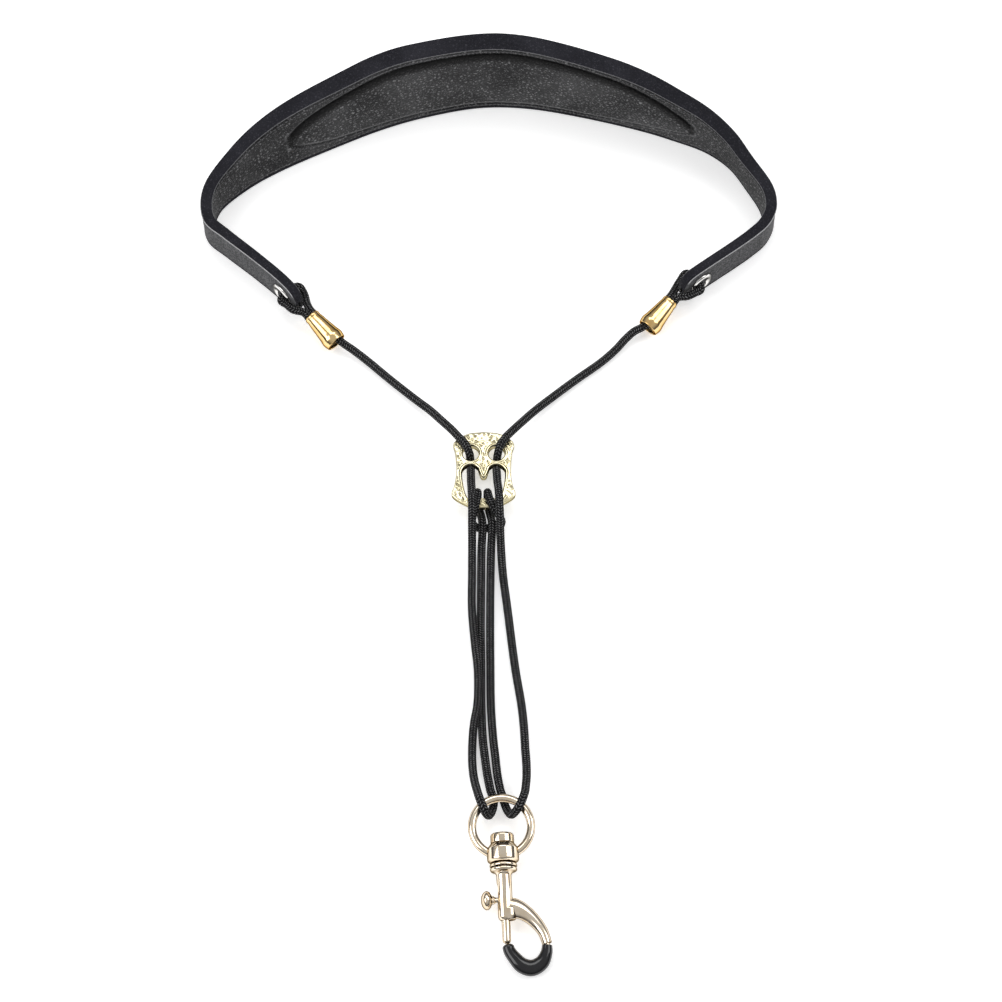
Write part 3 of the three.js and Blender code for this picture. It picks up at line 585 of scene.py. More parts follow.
def braided(name, path, start=0.0, relief=0.00014):
    """Braided cord along a dense path; start is the length of cord before it."""
    steps = max(8, round(length_of(path) / CORD_STEP))
    path = resample(path, steps)
    step = length_of(path) / steps
    verts, marks = [], []
    for i, (point, (side, up)) in enumerate(zip(path, carried_frames(path))):
        along = start + i * step
        for angle in turns(CORD_SIDES):
            radius = CORD_R - relief * (1 - braid_relief(along, angle))
            verts.append(point + side * (radius * cos(angle)) + up * (radius * sin(angle)))
            marks.append((along, cos(angle), sin(angle)))
    rings = [verts[i:i + CORD_SIDES] for i in range(0, len(verts), CORD_SIDES)]
    made = make(name, *skin(rings), BRAID, angle=70, merge=0.0)
    route = made.data.attributes.new("route", "FLOAT_VECTOR", "POINT")
    for k, mark in enumerate(marks):
        route.data[k].vector = mark
    return made


def declare_cord(path, points):
    """The path resampled to that many steps; the result is not used."""
    route = [tuple(p) for p in resample(path, points)]


def route_of(*names):
    """One dense path through several routes that follow each other."""
    out = []
    for name in names:
        part = catmull([placed(p) for p in ROUTES[name]])
        out += part[1:] if out else part
    return out


def upper_path(side):
    """From just inside a bell's mouth down through the slider's upper holes."""
    if side == "left":
        path = route_of("cord_upper_left", "cord_weave_left")
    else:
        path = route_of("cord_weave_right", "cord_upper_right")[::-1]
    return [path[0] - (path[1] - path[0]).normalized() * BELL_INSERT, *path]


for side in ("left", "right"):
    upper = upper_path(side)
    cord = braided(f"running_cord_{side}", upper)
    declare_cord(upper, 60)
    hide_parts(f"cord_upper_{side}", f"cord_weave_{side}")
    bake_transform(cord)

LOWER_NODES = ("cord_outer_left", "cord_ring_left", "cord_inner_left", "cord_hitch",
               "cord_inner_right", "cord_ring_right", "cord_outer_right")
lower = route_of(*LOWER_NODES)
lower_cord = braided("running_cord_lower", lower, length_of(upper_path("left")))
declare_cord(lower, 240)
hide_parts(*LOWER_NODES)
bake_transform(lower_cord)

# ---- neck band: shape

BAND = resample(catmull([placed((x, y, 0)) for x, y in BAND_PLAN]), 4 * BAND_STATIONS)
BAND_LENGTH = length_of(BAND)


def from_middle(u):
    return abs(u - 0.5) * BAND_LENGTH


def from_tip(u):
    return min(u, 1 - u) * BAND_LENGTH


def band_height(u):
    return lerp(MIDDLE_HEIGHT, END_HEIGHT, smooth(from_middle(u), 0.030, 0.138))


def band_thickness(u):
    return lerp(MIDDLE_THICKNESS, END_THICKNESS, smooth(from_middle(u), 0.040, 0.165))


def band_low(u):
    """Height of the lower edge, which rises at the rounded tips."""
    t = min(from_tip(u) / TIP_ROUND, 1)
    return 0.32 * END_HEIGHT * (1 - sqrt(1 - (1 - t) ** 2))


def band_high(u):
    return band_height(u) - band_low(u)


def band_lean(u):
    """How far the wall leans outwards for each unit of height."""
    after = max(1, next(i for i, (at, _) in enumerate(BAND_LEAN) if at >= u))
    (start, before), (stop, to) = BAND_LEAN[after - 1], BAND_LEAN[after]
    return tan(radians(lerp(before, to, smooth(u, start, stop))))


def band_at(u):
    """Point of the band's plan and the unit vectors along it and outwards."""
    place = min(max(u, 0), 1) * (len(BAND) - 1)
    i = min(int(place), len(BAND) - 2)
    near, far = BAND[max(i - 2, 0)], BAND[min(i + 3, len(BAND) - 1)]
    along = (far - near).normalized()
    return BAND[i].lerp(BAND[i + 1], place - i), along, Vector((-along.y, along.x, 0))


def band_point(u, z, depth):
    point, _, outwards = band_at(u)
    return point + outwards * (z * band_lean(u) - depth) + Vector((0, 0, z))


def pad_outline(u):
    """Place along the cushion from -1 to 1, its middle height, its half height, and 1 - place^4."""
    along = (u - 0.5) * BAND_LENGTH / PAD_HALF_LENGTH
    middle = band_height(u) / 2
    room = max(0.0, 1 - along ** 4)
    return along, middle, middle * PAD_HEIGHT_SHARE * sqrt(room), room


def pad_distance(u, z):
    """Distance inwards from the cushion's outline, negative outside it."""
    along, middle, half, room = pad_outline(u)
    steep = 2 * middle * PAD_HEIGHT_SHARE * abs(along) ** 3 / (sqrt(room) + 0.05) / PAD_HALF_LENGTH
    beyond = max(0.0, abs(along) - 1) * PAD_HALF_LENGTH
    return (half - abs(z - middle)) / sqrt(1 + steep * steep) - beyond


def pucker(u, z, size, seed):
    """Small uneven waves in the leather, from -1 to 1."""
    return noise.noise(Vector((u * BAND_LENGTH / size, z / size, seed)))


# ---- neck band: pieces


def strip_rings(section, places):
    """Rings of band points at places along it; section(u) lists (height, depth) corners."""
    return [[band_point(u, z, depth) for z, depth in section(u)] for u in places]


def evenly(first, last):
    return [lerp(first, last, i / BAND_STATIONS) for i in range(BAND_STATIONS + 1)]


def channel_section(u):
    """Outer leather, folded over both edges, with every corner rounded."""
    low, high, thick = band_low(u), band_high(u), band_thickness(u)
    corners = [
        (low, 0), (low + 0.0013, 0), (high - 0.0010, 0), (high, 0), (high, thick),
        (high - LEATHER, thick), (high - LEATHER, LEATHER), (low + LEATHER, LEATHER),
        (low + LEATHER, thick), (low, thick),
    ]
    around = zip(corners[-1:] + corners, corners, corners[1:] + corners[:1])
    return [p for before, corner, after in around for p in corner_curve(before, corner, after, 0.0009, 5)]


def outer_leather():
    """Smooth leather at the folded edges, suede between them."""
    rings = strip_rings(channel_section, evenly(0, 1))
    made = make("outer_leather_cover", *skin(rings), EDGE_LEATHER, angle=50)
    made.data.materials.append(SUEDE)
    for face in made.data.polygons:
        centre = face.center
        u = nearest_place(centre)
        plan, _, outwards = band_at(u)
        depth = centre.z * band_lean(u) - (centre - plan).dot(outwards)
        inside = band_low(u) + 0.0012 < centre.z < band_high(u) - 0.0009
        face.material_index = 1 if inside and depth < 0.0004 else 0
    return made


def nearest_place(point):
    """Place along the band of the plan point that is nearest."""
    flat = Vector((point.x, point.y, 0))
    guess = min(range(0, len(BAND), 12), key=lambda i: (BAND[i] - flat).length_squared)
    close = range(max(0, guess - 12), min(len(BAND), guess + 13))
    return min(close, key=lambda i: (BAND[i] - flat).length_squared) / (len(BAND) - 1)


def shade_by(made, tone):
    """Stores tone(u, z) at each vertex for the leather's shading."""
    values = made.data.attributes.new("tone", "FLOAT", "POINT")
    for k, vertex in enumerate(made.data.vertices):
        values.data[k].value = tone(nearest_place(vertex.co), vertex.co.z)


def lining_painted_shading(u, z):
    """Painted shade in the crease round the cushion, and a painted highlight line outside it."""
    distance = -pad_distance(u, z)
    dark = exp(-((distance - 0.0002) / 0.0007) ** 2)
    light = exp(-((distance - 0.0015) / 0.0004) ** 2)
    return 0.5 - 0.5 * dark + 0.35 * light


def cushion_painted_shading(u, z):
    """Painted shade on the shoulder, above all along the top, and a painted highlight line where the crown
    starts.
    """
    distance = pad_distance(u, z)
    upper = smooth(z - band_height(u) / 2, -0.006, 0.004)
    dark = (1 - smooth(distance, 0.0012, PAD_BEVEL * 1.1)) * lerp(0.55, 1.0, upper)
    light = exp(-((distance - 0.0016) / 0.0006) ** 2) * (1 - upper)
    return 0.5 - 0.46 * dark + 0.6 * light


def lining_depth(u, z):
    """The lining's face: a flat rim, a crease round the cushion, and soft puckers."""
    distance = pad_distance(u, z)
    crease = 0.0005 * exp(-((distance + 0.0004) / 0.0007) ** 2)
    waves = 0.00010 * pucker(u, z, 0.006, 1.0) * smooth(from_tip(u), 0.012, 0.03)
    return band_thickness(u) - crease + waves


def lining():
    """Sheet between the folded edges, softened along its own edges."""
    lines, gap, soften = 44, 0.00012, 0.00025

    def section(u):
        low, high = band_low(u) + LEATHER + gap, band_high(u) - LEATHER - gap
        heights = [lerp(low, high, k / (lines - 1)) for k in range(lines)]
        front = [(z, lining_depth(u, z)) for z in heights]
        front[0] = (low, front[0][1] - soften)
        front[-1] = (high, front[-1][1] - soften)
        back = [(z, band_thickness(u) - LEATHER) for z in reversed(heights)]
        return front + back

    made = make("lining", *skin(strip_rings(section, evenly(0, 1))), LINING, angle=60)
    shade_by(made, lining_painted_shading)
    return made


def cushion_rise(u, z):
    """Height of the cushion's crown above the lining."""
    distance = pad_distance(u, z)
    t = min(max(distance / PAD_BEVEL, 0.0), 1.0)
    shoulder = sqrt(1 - (1 - t) ** 2.4)
    crown = 0.70 + 0.30 * smooth(distance, 0.002, 0.014)
    ripple = 0.00016 * pucker(u, z, 0.011, 4.0) + 0.00008 * pucker(u, z, 0.0045, 7.0)
    pull = sin(2 * pi * u * BAND_LENGTH / (2 * STITCH_PITCH))
    gather = 0.00007 * pull * exp(-(distance / 0.0022) ** 2)
    return PAD_RISE * shoulder * crown + (ripple + gather) * shoulder


def cushion():
    """Crowned leather pad over foam, closed at the back just inside the lining."""
    stations, lines = 260, 56
    edge = 0.985 * PAD_HALF_LENGTH / BAND_LENGTH
    sunk, back_sunk = 0.0003, 0.0006

    def section(u):
        _, middle, half, _ = pad_outline(u)
        base = band_thickness(u) - sunk
        heights = [middle - half * cos(pi * k / (lines - 1)) for k in range(lines)]
        front = [(z, base + cushion_rise(u, z)) for z in heights]
        return front + [(z, base - back_sunk) for z in reversed(heights[1:-1])]

    places = [0.5 - edge * cos(pi * i / stations) for i in range(stations + 1)]
    made = make("neck_cushion", *skin(strip_rings(section, places)), CUSHION, angle=80)
    shade_by(made, cushion_painted_shading)
    return made


def stitch(at, along, out, size=0.00115, thick=0.00017):
    """One sewn stitch: a bowed capsule that sinks at both ends."""
    side = along.cross(out).normalized()
    rings = []
    for k in range(7):
        t = k / 6 * 2 - 1
        width = thick * sqrt(max(0.02, 1 - t ** 4))
        middle = at + along * (t * size / 2) + out * (thick * 0.5 * (1 - t * t) - thick * 0.35)
        rings.append(oval(middle, side, out, width, width, 8))
    return skin(rings)


def stitch_row(name, height, first=0.05, last=0.95):
    """A row of stitches at height(u) on the lining."""
    count = int((last - first) * BAND_LENGTH / STITCH_PITCH)
    ahead = 0.3 * STITCH_PITCH / BAND_LENGTH
    shapes = []
    for i in range(count):
        u = lerp(first, last, (i + 0.5) / count)
        at, to = (band_point(v, height(v), lining_depth(v, height(v))) for v in (u, u + ahead))
        _, _, outwards = band_at(u)
        shapes.append(stitch(at, (to - at).normalized(), -outwards))
    return make(name, *merged(*shapes), THREAD, angle=60)


def bead(name, height, depth, radius, look):
    """A thin raised cord along the band, used for a leather edge, a thread and a painted highlight line.
    """
    def section(u):
        return [(height(u) + radius * sin(a), depth(u) + radius * cos(a)) for a in turns(8)]

    return make(name, *skin(strip_rings(section, evenly(0.004, 0.996))), look, angle=60)


def dress(piece, body, slot, *nodes):
    """The piece rides on a body and stands for CAD nodes, which are hidden; slot is not used."""
    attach(piece, body)
    if nodes:
        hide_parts(*nodes)
    return piece


dress(outer_leather(), "neck_band", "leather", "outer_leather")
dress(lining(), "neck_band", "lining", "inner_leather")
pad = dress(cushion(), "neck_band", "lining", "pad_foam")
dress(stitch_row("stitches_lower", lambda u: band_low(u) + 0.0025), "neck_band", "lining")
dress(stitch_row("stitches_upper", lambda u: band_high(u) - 0.0023), "neck_band", "lining")
for welt in (
    # The light outer top bead is a painted highlight line along the edge.
    bead("painted_highlight_outer_top", lambda u: band_high(u) - 0.0009, lambda u: 0.00002, 0.00026, TOP_EDGE_HIGHLIGHT),
    bead("welt_outer_bottom", lambda u: band_low(u) + 0.0012, lambda u: 0.00008, 0.00018, EDGE_LEATHER),
    bead("welt_inner_top", lambda u: band_high(u) - 0.0005, lambda u: band_thickness(u) - 0.0001,
         0.00024, THREAD),
):
    dress(welt, "neck_band", "leather")
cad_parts["band_core"].data.materials.clear()
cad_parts["band_core"].data.materials.append(FIBRE)

# ---- eyelets, loops and bells

SIDES = {"left": EYELET_FROM_TIP / BAND_LENGTH, "right": 1 - EYELET_FROM_TIP / BAND_LENGTH}
EYELET_BORE, EYELET_TUBE, EYELET_FLANGE = 0.00235, 0.0029, 0.0045
WASHER_BORE = 0.0032
EYELET_GAP = 0.0002


def eyelet_matrix(side):
    """Local Y runs outwards along the eyelet's axis, from the band's outer face."""
    u = SIDES[side]
    _, _, outwards = band_at(u)
    return Matrix.Translation(band_point(u, EYELET_HEIGHT, 0)) @ turned_towards(outwards)


def eyelet(side):
    """Rolled flange outside, thin tube through the leather."""
    inner = -END_THICKNESS - 0.0009
    shape = turned([
        (EYELET_BORE, inner), (EYELET_TUBE, inner), (EYELET_TUBE, EYELET_GAP),
        (EYELET_FLANGE, EYELET_GAP), (0.0044, 0.0006), (0.0037, 0.0011), (EYELET_TUBE, 0.0010),
        (EYELET_BORE, 0.0004), (EYELET_BORE, inner),
    ], 48, 0.0003)
    return make(f"rolled_eyelet_{side}", *moved(shape, eyelet_matrix(side)), NICKEL, angle=50)


def eyelet_washer(side):
    near = -END_THICKNESS - EYELET_GAP
    shape = turned([
        (WASHER_BORE, near), (EYELET_FLANGE, near), (EYELET_FLANGE, near - 0.0004),
        (0.0038, near - 0.0008), (WASHER_BORE, near - 0.0006), (WASHER_BORE, near),
    ], 48, 0.0002)
    return make(f"backing_washer_{side}", *moved(shape, eyelet_matrix(side)), NICKEL, angle=50)


def bell(side):
    """Turned cap with a stepped neck, a swelling waist and a chamfered, hollow mouth."""
    neck, mouth = (placed(point) for point in BELLS[side])
    length = (mouth - neck).length
    floor = length - 0.0014
    shape = turned([
        (0, 0.0006), (0.0023, 0.0006), (0.0024, 0), (0.0028, 0.0002), (0.0030, 0.0009), (0.00285, 0.0015),
        (0.0031, 0.0030), (0.00345, 0.0062), (0.0039, length - 0.0042), (0.00425, length - 0.0026),
        (0.00422, length - 0.0018), (0.00385, length), (0.0033, length), (0.0032, floor), (0, floor),
    ], 72, 0.0004)
    matrix = Matrix.Translation(neck) @ turned_towards((mouth - neck).normalized())
    return make(f"cord_bell_{side}", *moved(shape, matrix), GOLD)


def loop_path(side):
    """Both legs of the loop, from the bell through the eyelet and back."""
    at = eyelet_matrix(side).translation
    _, _, outwards = band_at(SIDES[side])
    neck, mouth = (placed(point) for point in BELLS[side])
    axis = (mouth - neck).normalized()
    across = axis.cross(UP).normalized()
    if across.dot(outwards) < 0:
        across.negate()
    bend = CORD_R + 0.0011
    away = Vector((neck.x - at.x, neck.y - at.y, 0)).normalized()
    tip = band_point(0 if side == "left" else 1, at.z - 0.0005, 0)

    def leg(sign, face):
        drop = 0 if sign > 0 else LOOP_DROP
        beside = at + outwards * (face + sign * bend)
        lower = (beside + away * 0.0046) - UP * drop
        lift = UP * (sign * 0.0009)
        past_tip = tip + outwards * (face + sign * (CORD_R + 0.0001)) - UP * (drop * 0.6) + lift
        end = neck + axis * 0.0003 + across * (sign * 0.00125)
        near_end = neck - axis * 0.0022 + across * (sign * 0.00148) + lift
        return [beside + away * 0.0021, lower, past_tip, near_end, end]

    middle = at - outwards * (END_THICKNESS / 2) + away * 0.0008
    return catmull([*reversed(leg(1, 0)), middle, *leg(-1, -END_THICKNESS)])


for side in ("left", "right"):
    dress(eyelet(side), "neck_band", "nickel", f"eyelet_{side}")
    dress(eyelet_washer(side), "neck_band", "nickel", f"eyelet_washer_{side}")
    dress(bell(side), "neck_band", "gold", f"bell_{side}")
    path = loop_path(side)
    loop = dress(braided(f"eyelet_loop_{side}", path), "neck_band", "braid", f"cord_loop_{side}")
    declare_cord(path, 60)

# ---- slider

SLIDER_RIGHT = [
    (0.0060, 0.0147), (0.0108, 0.0110), (0.0102, 0.0075), (0.0097, 0.0), (0.0104, -0.0055),
    (0.0113, -0.0092), (0.0073, -0.0125), (0.0026, -0.0142),
]
SLIDER_TOP = (0.0, 0.0156)
HOLE_X = 0.0046
UPPER_HOLE = (0.0070, 0.0029)  # height of its centre and radius
LOWER_HOLE = (-0.0008, 0.0031)
BAR_TOP_Y = -0.0106
SLIDER_BEVEL = 0.0004
RIM_LIFT, CARVE_DEPTH = 0.00042, 0.00028
VOXEL = 0.00017


def arc(cx, cy, r, start, stop, count):
    """Points on an arc, angles in turns of pi."""
    return [(cx + r * cos(pi * lerp(start, stop, k / count)),
             cy + r * sin(pi * lerp(start, stop, k / count))) for k in range(count + 1)]


def slider_loops():
    """Outline and openings of the slider plate."""
    left = [(-x, y) for x, y in reversed(SLIDER_RIGHT)]
    outline = catmull([(x, y, 0) for x, y in [SLIDER_TOP, *SLIDER_RIGHT, *left, SLIDER_TOP]], 8)[:-1]
    uppers = [arc(sign * HOLE_X, *UPPER_HOLE, 0, 2 - 2 / 40, 39) for sign in (-1, 1)]
    y, r = LOWER_HOLE
    left_arc, right_arc = arc(-HOLE_X, y, r, 1, 0.2, 14), arc(HOLE_X, y, r, 0.8, 0, 14)
    dip_left, dip_right = (-0.0010, y - 0.0015), (0.0010, y - 0.0015)
    low, side, foot = BAR_TOP_Y, HOLE_X + r, 0.0056
    opening = left_arc + bent(left_arc[-1], (-0.0016, y), dip_left, 5)[1:]
    opening += bent(dip_left, (0, y - 0.0024), dip_right, 6)[1:]
    opening += bent(dip_right, (0.0016, y), right_arc[0], 5)[1:] + right_arc[1:]
    opening += bent((side, y), (side - 0.0004, low + 0.003), (foot, low), 8)[1:]
    opening += [(lerp(foot, -foot, k / 8), low) for k in range(1, 9)]
    opening += bent((-foot, low), (-side + 0.0004, low + 0.003), (-side, y), 8)[1:-1]
    return [(p.x, p.y) for p in outline], [*uppers, opening]


def nearest_edge(x, y, loop):
    """Distance from a point to a closed polyline."""
    best = 1.0
    for (ax, ay), (bx, by) in zip(loop, loop[1:] + loop[:1]):
        dx, dy = bx - ax, by - ay
        t = min(max(((x - ax) * dx + (y - ay) * dy) / (dx * dx + dy * dy + 1e-18), 0), 1)
        best = min(best, hypot(x - ax - t * dx, y - ay - t * dy))
    return best


def carving(x, y):
    """Cast leaf-like texture, from 0 in the hollows to 1."""
    bend = noise.noise(Vector((x, y, 0)) / 0.006) * 0.004
    coarse = noise.noise(Vector((x + bend, y - bend, 3.0)) / 0.0014)
    fine = noise.noise(Vector((x - bend, y + bend, 9.0)) / 0.0008)
    ridge = 1 - abs(coarse) * 2.2
    return min(max(0.62 * ridge + 0.38 * (0.5 + fine), 0.0), 1.0)


def slider():
    """Cast plate: bevelled outline, raised polished rims round its openings, textured face."""
    outline, openings = slider_loops()
    data = bpy.data.curves.new("slider_outline", "CURVE")
    data.dimensions = "2D"
    data.fill_mode = "BOTH"
    data.extrude = PLATE_T / 2 - SLIDER_BEVEL
    data.bevel_depth = SLIDER_BEVEL
    data.bevel_resolution = 3
    data.offset = -SLIDER_BEVEL
    for loop in [outline, *openings]:
        spline = data.splines.new("POLY")
        spline.points.add(len(loop) - 1)
        spline.use_cyclic_u = True
        for point, (x, y) in zip(spline.points, loop):
            point.co = (x, y, 0, 1)
    flat = linked("slider_outline", data)
    plate = linked("carved_slider", evaluated(flat))
    bpy.data.objects.remove(flat)
    remesh = plate.modifiers.new("remesh", "REMESH")
    remesh.mode = "VOXEL"
    remesh.voxel_size = VOXEL
    mesh = evaluated(plate)
    plate.modifiers.clear()
    plate.data = mesh
    relief = mesh.attributes.new("relief", "FLOAT", "POINT")
    top = PLATE_T / 2
    for k, vertex in enumerate(mesh.vertices):
        x, y, z = vertex.co
        value = 0.75
        if abs(z) > top - 0.0003:
            rim = min(nearest_edge(x, y, loop) for loop in openings)
            edge = nearest_edge(x, y, outline)
            lip = exp(-((rim - 0.0006) / 0.00045) ** 2)
            field = smooth(rim, 0.0010, 0.0016) * smooth(edge, 0.0004, 0.0010)
            carved = carving(x, y)
            value = lerp(0.95, carved, field)
            lift = RIM_LIFT * lip - CARVE_DEPTH * field * (1 - carved)
            vertex.co.z += copysign(lift, z)
        relief.data[k].value = value
    mesh.transform(Matrix.Translation(placed(SLIDER_AT)))
    mesh.materials.clear()
    mesh.materials.append(PALE_GOLD)
    mesh.shade_smooth()
    return plate


dress(slider(), "slider", "pale_gold", "slider_plate")

# ---- swivel hook
# Its own frame has the ring's centre at the origin and -Y towards the hook's end.

HOOK = Matrix.Translation(placed(RING_AT)) @ Matrix.Rotation(HOOK_TURN, 4, "Z")
HOOK = HOOK @ Matrix.Rotation(HOOK_TILT, 4, "X")
RING_R, RING_ROD_R = 0.0100, 0.00142
BARREL_R, BARREL_TOP, BARREL_END = 0.0054, -0.0060, -0.0126
STEM_R, FLANGE_R = 0.0019, 0.00465
SHANK_TOP, SHANK_END, SHANK_R, SHANK_FLAT = -0.0144, -0.0323, 0.00255, 0.98
BORE_TOP, BOLT_R, BOLT_END = -0.0164, 0.00145, -0.0400
KNOB_Y, BOLT_TRAVEL, BOLT_ABOVE_KNOB = -0.0252, 0.0046, 0.0015
PIVOT_BORE_R, SLOT_HALF = 0.0022, 0.0012
ARM_T, NOSE_START, COAT = 0.0041, -0.0406, 0.00055
ARM = [
    (0.0012, -0.0277, 0.0034), (0.0035, -0.0283, 0.0033), (0.0066, -0.0300, 0.00275),
    (0.0099, -0.0332, 0.0022), (0.0122, -0.0367, 0.00185), (0.0134, NOSE_START, 0.00165),
]
NOSE = [
    (0.0134, NOSE_START, 0.00165), (0.0130, -0.0437, 0.0020), (0.0112, -0.0470, 0.0025),
    (0.0079, -0.0486, 0.00275), (0.0047, -0.0476, 0.00265), (0.0024, -0.0451, 0.0023),
    (0.0007, -0.0425, 0.00205), (0.0002, -0.0401, 0.00195),
]


def torus(radius, rod):
    rings = []
    for a in turns(112):
        out = Vector((cos(a), sin(a), 0))
        rings.append([out * (radius + rod * cos(b)) + UP * (rod * sin(b)) for b in turns(28)])
    return skin([*rings, rings[0]], caps=False)


def oval_bar(line, thickness, inset, start=0.0, stop=1.0, steps=48, sides=28, ends=0):
    """Oval bar along (x, y, half width) points; ends rounds that many rings at its far end."""
    fine = 400
    picked = resample(catmull(line, 24), fine)
    rings = []
    for i in range(steps + 1):
        place = lerp(start, stop, i / steps) * fine
        k = min(int(place), fine - 1)
        p = picked[k].lerp(picked[k + 1], place - k)
        ahead, behind = picked[min(k + 3, fine)], picked[max(k - 3, 0)]
        d = Vector((ahead.x - behind.x, ahead.y - behind.y, 0)).normalized()
        close = steps - i
        shrink = max(sqrt(1 - (1 - close / ends) ** 2), 0.05) if close < ends else 1.0
        wide, high = (p.z - inset) * shrink, (thickness / 2 - inset) * shrink
        rings.append(oval(Vector((p.x, p.y, 0)), Vector((-d.y, d.x, 0)), UP, wide, high, sides))
    return skin(rings)


def hook_piece(name, shape, look=CHAMPAGNE, angle=38):
    return make(name, *moved(shape, HOOK), look, angle=angle)


def hook_turned(name, profile, segments, fillet):
    return hook_piece(name, turned(profile, segments, fillet))


def drill(radius, low, high):
    """Plain cylinder for cutting a hole from low to high."""
    return hook_turned("bore", [(0, low), (radius, low), (radius, high), (0, high)], 40, 0)


def carve(base, others, operation):
    """Applies a boolean of other objects to base, and removes them."""
    for other in others:
        step = base.modifiers.new("step", "BOOLEAN")
        step.operation = operation
        step.solver = "EXACT"
        step.object = other
    mesh = evaluated(base)
    base.modifiers.clear()
    base.data = mesh
    for other in others:
        bpy.data.objects.remove(other)
    mesh.shade_smooth()
    mesh.set_sharp_from_angle(angle=radians(35))
    return base


def swivel_eye():
    """Ring and barrel in one piece, bored for the rivet."""
    ring = hook_piece("ring_and_barrel", torus(RING_R, RING_ROD_R))
    barrel = hook_turned("barrel", [
        (0, BARREL_END), (BARREL_R - 0.0009, BARREL_END), (BARREL_R - 0.0001, BARREL_END + 0.0007),
        (BARREL_R, BARREL_END + 0.0012), (BARREL_R, BARREL_TOP - 0.0017), (BARREL_R - 0.0013, BARREL_TOP),
        (0, BARREL_TOP),
    ], 72, 0.0003)
    bore = drill(PIVOT_BORE_R, BARREL_END - 0.001, BARREL_TOP + 0.001)
    return carve(carve(ring, [barrel], "UNION"), [bore], "DIFFERENCE")


def swivel_rivet():
    head = BARREL_TOP + 0.0002
    return hook_turned("pivot_rivet", [
        (0, SHANK_TOP), (STEM_R, SHANK_TOP), (STEM_R, head), (0.0040, head), (0.0040, head + 0.0027),
        (0.0035, head + 0.0033), (0, head + 0.0034),
    ], 64, 0.00025)


def swivel_washer():
    top = BARREL_END - 0.0005
    low = top - 0.0009
    return hook_turned("thrust_washer", [
        (PIVOT_BORE_R, low), (FLANGE_R, low), (FLANGE_R, top), (PIVOT_BORE_R, top), (PIVOT_BORE_R, low),
    ], 64, 0.00035)


def hook_body():
    """Flange, shank with its slot, and the curved arm, as one casting."""
    flat = Matrix.Diagonal((1, 1, SHANK_FLAT, 1))
    shank = hook_piece("snap_hook_body", moved(turned([
        (0, SHANK_END), (SHANK_R - 0.0007, SHANK_END), (SHANK_R, SHANK_END + 0.0010),
        (SHANK_R, SHANK_TOP - 0.0022), (SHANK_R + 0.0007, SHANK_TOP - 0.0015),
        (FLANGE_R - 0.0003, SHANK_TOP - 0.0011), (FLANGE_R, SHANK_TOP - 0.0005),
        (FLANGE_R - 0.0002, SHANK_TOP), (0, SHANK_TOP),
    ], 64, 0.00045), flat))
    arm = hook_piece("arm", oval_bar(ARM, ARM_T, 0))
    lug = hook_turned("lug", [
        (0, -0.0321), (0.0021, -0.0321), (0.0026, -0.0308), (0.0026, -0.0280), (0, -0.0270),
    ], 32, 0.0004)
    lug.data.transform(Matrix.Translation((0.0012, 0, 0)))
    core = hook_piece("core", oval_bar(NOSE, ARM_T, COAT + 0.0002, 0, 0.93))
    body = carve(shank, [arm, lug, core], "UNION")
    bore = drill(BOLT_R + 0.0002, SHANK_END - 0.001, BORE_TOP)
    top, end = KNOB_Y + BOLT_TRAVEL + 0.0013 - SLOT_HALF, KNOB_Y - 0.0013 + SLOT_HALF
    rim = arc(top, 0, SLOT_HALF, 0.5, -0.5, 8) + arc(end, 0, SLOT_HALF, -0.5, -1.5, 8)
    slot = hook_piece("slot", skin([[Vector((x, y, z)) for y, z in rim] for x in (-0.0046, -0.0006)]))
    return carve(body, [bore, slot], "DIFFERENCE")


def hook_coating():
    skin_shape = oval_bar(NOSE, ARM_T, -0.00005, 0.03, 1.0, 72, 32, ends=4)
    return hook_piece("dipped_nose", skin_shape, DIP, angle=60)


def bolt():
    top = KNOB_Y + BOLT_ABOVE_KNOB
    return hook_turned("spring_bolt", [
        (0, BOLT_END), (BOLT_R - 0.0006, BOLT_END), (BOLT_R, BOLT_END + 0.0006), (BOLT_R, top), (0, top),
    ], 48, 0.0003)


def thumb_knob():
    """Domed knob on a waisted stem that runs in the shank's slot."""
    shape = turned([
        (0, 0.0009), (0.0008, 0.0009), (0.0009, 0.0031), (0.00115, 0.0036), (0.0015, 0.0038),
        (0.0013, 0.0042), (0.0019, 0.0046), (0.0027, 0.0050), (0.0031, 0.0055), (0.00325, 0.0061),
        (0.0031, 0.0067), (0.0026, 0.0073), (0.0018, 0.0078), (0.0009, 0.00805), (0, 0.0081),
    ], 56, 0.0004)
    turn = Matrix.Translation((0, KNOB_Y, 0)) @ Matrix.Rotation(pi / 2, 4, "Z")
    return hook_piece("domed_knob", moved(shape, turn))


def bolt_spring():
    low, high, radius, wire = KNOB_Y + 0.0019, BORE_TOP - 0.0004, 0.0012, 0.00017
    per_turn = 24
    steps = 5 * per_turn
    path = []
    for i in range(steps + 1):
        a = 2 * pi * i / per_turn
        path.append(HOOK @ Vector((radius * cos(a), lerp(low, high, i / steps), radius * sin(a))))
    rings = [oval(p, side, up, wire, wire, 8) for p, (side, up) in zip(path, carried_frames(path))]
    return make("coil_spring", *skin(rings), STEEL, angle=60)


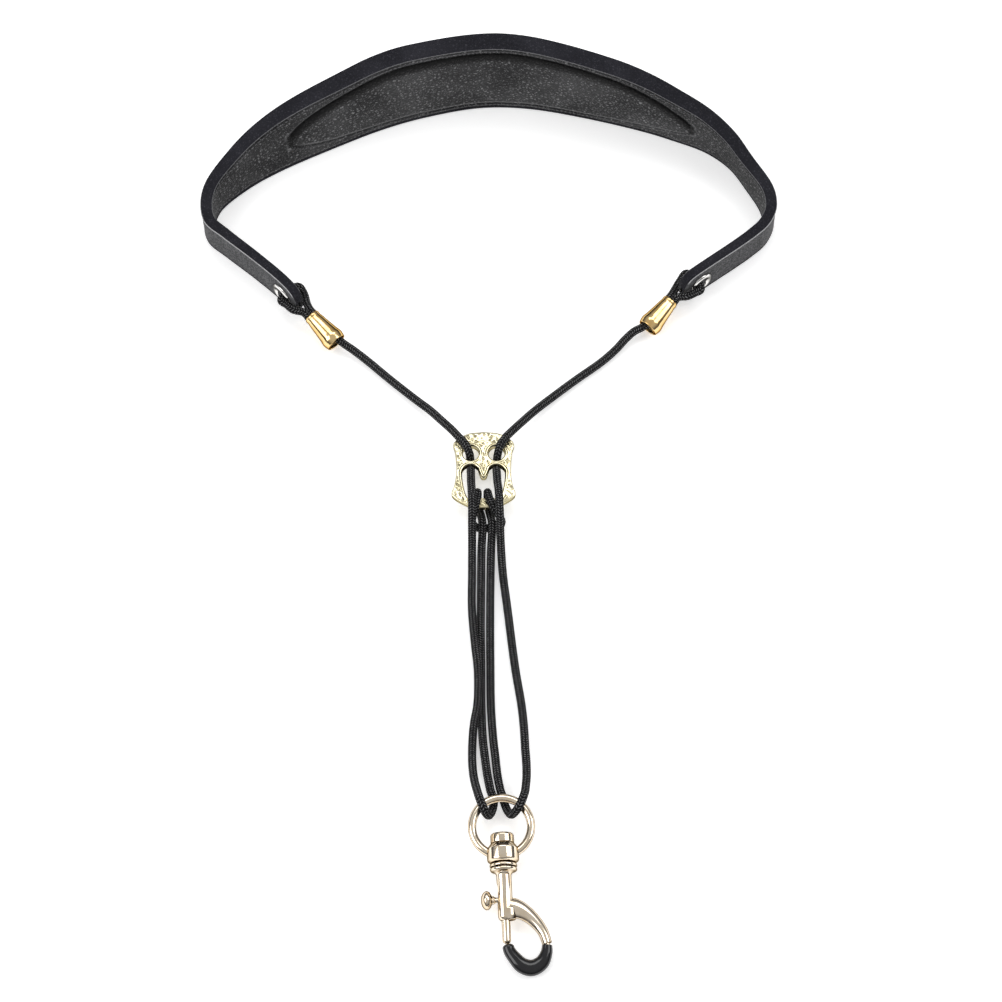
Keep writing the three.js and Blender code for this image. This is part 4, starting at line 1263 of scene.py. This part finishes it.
dress(swivel_eye(), "eye", "champagne", "swivel_eye")
dress(swivel_rivet(), "hook", "champagne", "swivel_rivet")
dress(swivel_washer(), "hook", "champagne", "swivel_washer")
dress(hook_body(), "hook", "champagne", "hook_body")
dress(hook_coating(), "hook", "dip", "hook_coating")
dress(bolt(), "bolt", "champagne", "bolt")
dress(thumb_knob(), "bolt", "champagne", "thumb_knob")
spring = bolt_spring()
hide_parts("bolt_spring")
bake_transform(spring)

# ---- studio


def soft_box(name, place, size, power, aim=(0, 0, 0.01)):
    data = bpy.data.lights.new(name, "AREA")
    data.shape = "RECTANGLE"
    data.size, data.size_y = size
    data.energy = power
    light = linked(name, data)
    light.location = place
    light.rotation_euler = (Vector(aim) - Vector(place)).to_track_quat("-Z", "Y").to_euler()


def make_studio():
    """White floor, pale surroundings and three soft boxes."""
    soft_box("box_left", (-0.9, -0.3, 0.8), (0.8, 0.8), 6)
    soft_box("box_right", (0.9, 0.1, 0.9), (0.6, 0.8), 4)
    soft_box("box_top", (0.0, 0.7, 1.3), (1.2, 0.6), 6)
    world = bpy.data.worlds.new("studio")
    bpy.context.scene.world = world
    world.use_nodes = True
    open_tree(world.node_tree)
    height = add("SeparateXYZ", {0: add("TexCoord").outputs["Generated"]}).outputs[2]
    sky = mix_colour(spread(height, 0.0, 0.85), rgb(0.10, 0.10, 0.11), rgb(1.0, 1.0, 1.0))
    seen = add("LightPath").outputs["Is Camera Ray"]
    sky = mix_colour(seen, sky, rgb(1.75, 1.75, 1.75))
    background = add("Background", {"Color": sky, "Strength": 0.55})
    add("OutputWorld", {"Surface": background.outputs[0]})
    size = 6.0
    corners = [(-size, -size, 0), (size, -size, 0), (size, size, 0), (-size, size, 0)]
    mesh = bpy.data.meshes.new("floor")
    mesh.from_pydata(corners, [], [(0, 1, 2, 3)])
    look, coords = new_material("floor_paper")
    tone = mix_colour(noise_at(coords, 0.3), rgb(0.93, 0.93, 0.93), rgb(0.95, 0.95, 0.95))
    mesh.materials.append(finished(look, {
        "Base Color": tone, "Roughness": 0.9, "Emission Color": tone, "Emission Strength": 0.45,
    }))
    floor = linked("floor", mesh)
    floor.location.z = -0.0004
    bpy.context.scene.view_settings.view_transform = "Standard"
    bpy.context.scene.view_settings.exposure = 0.0


make_studio()
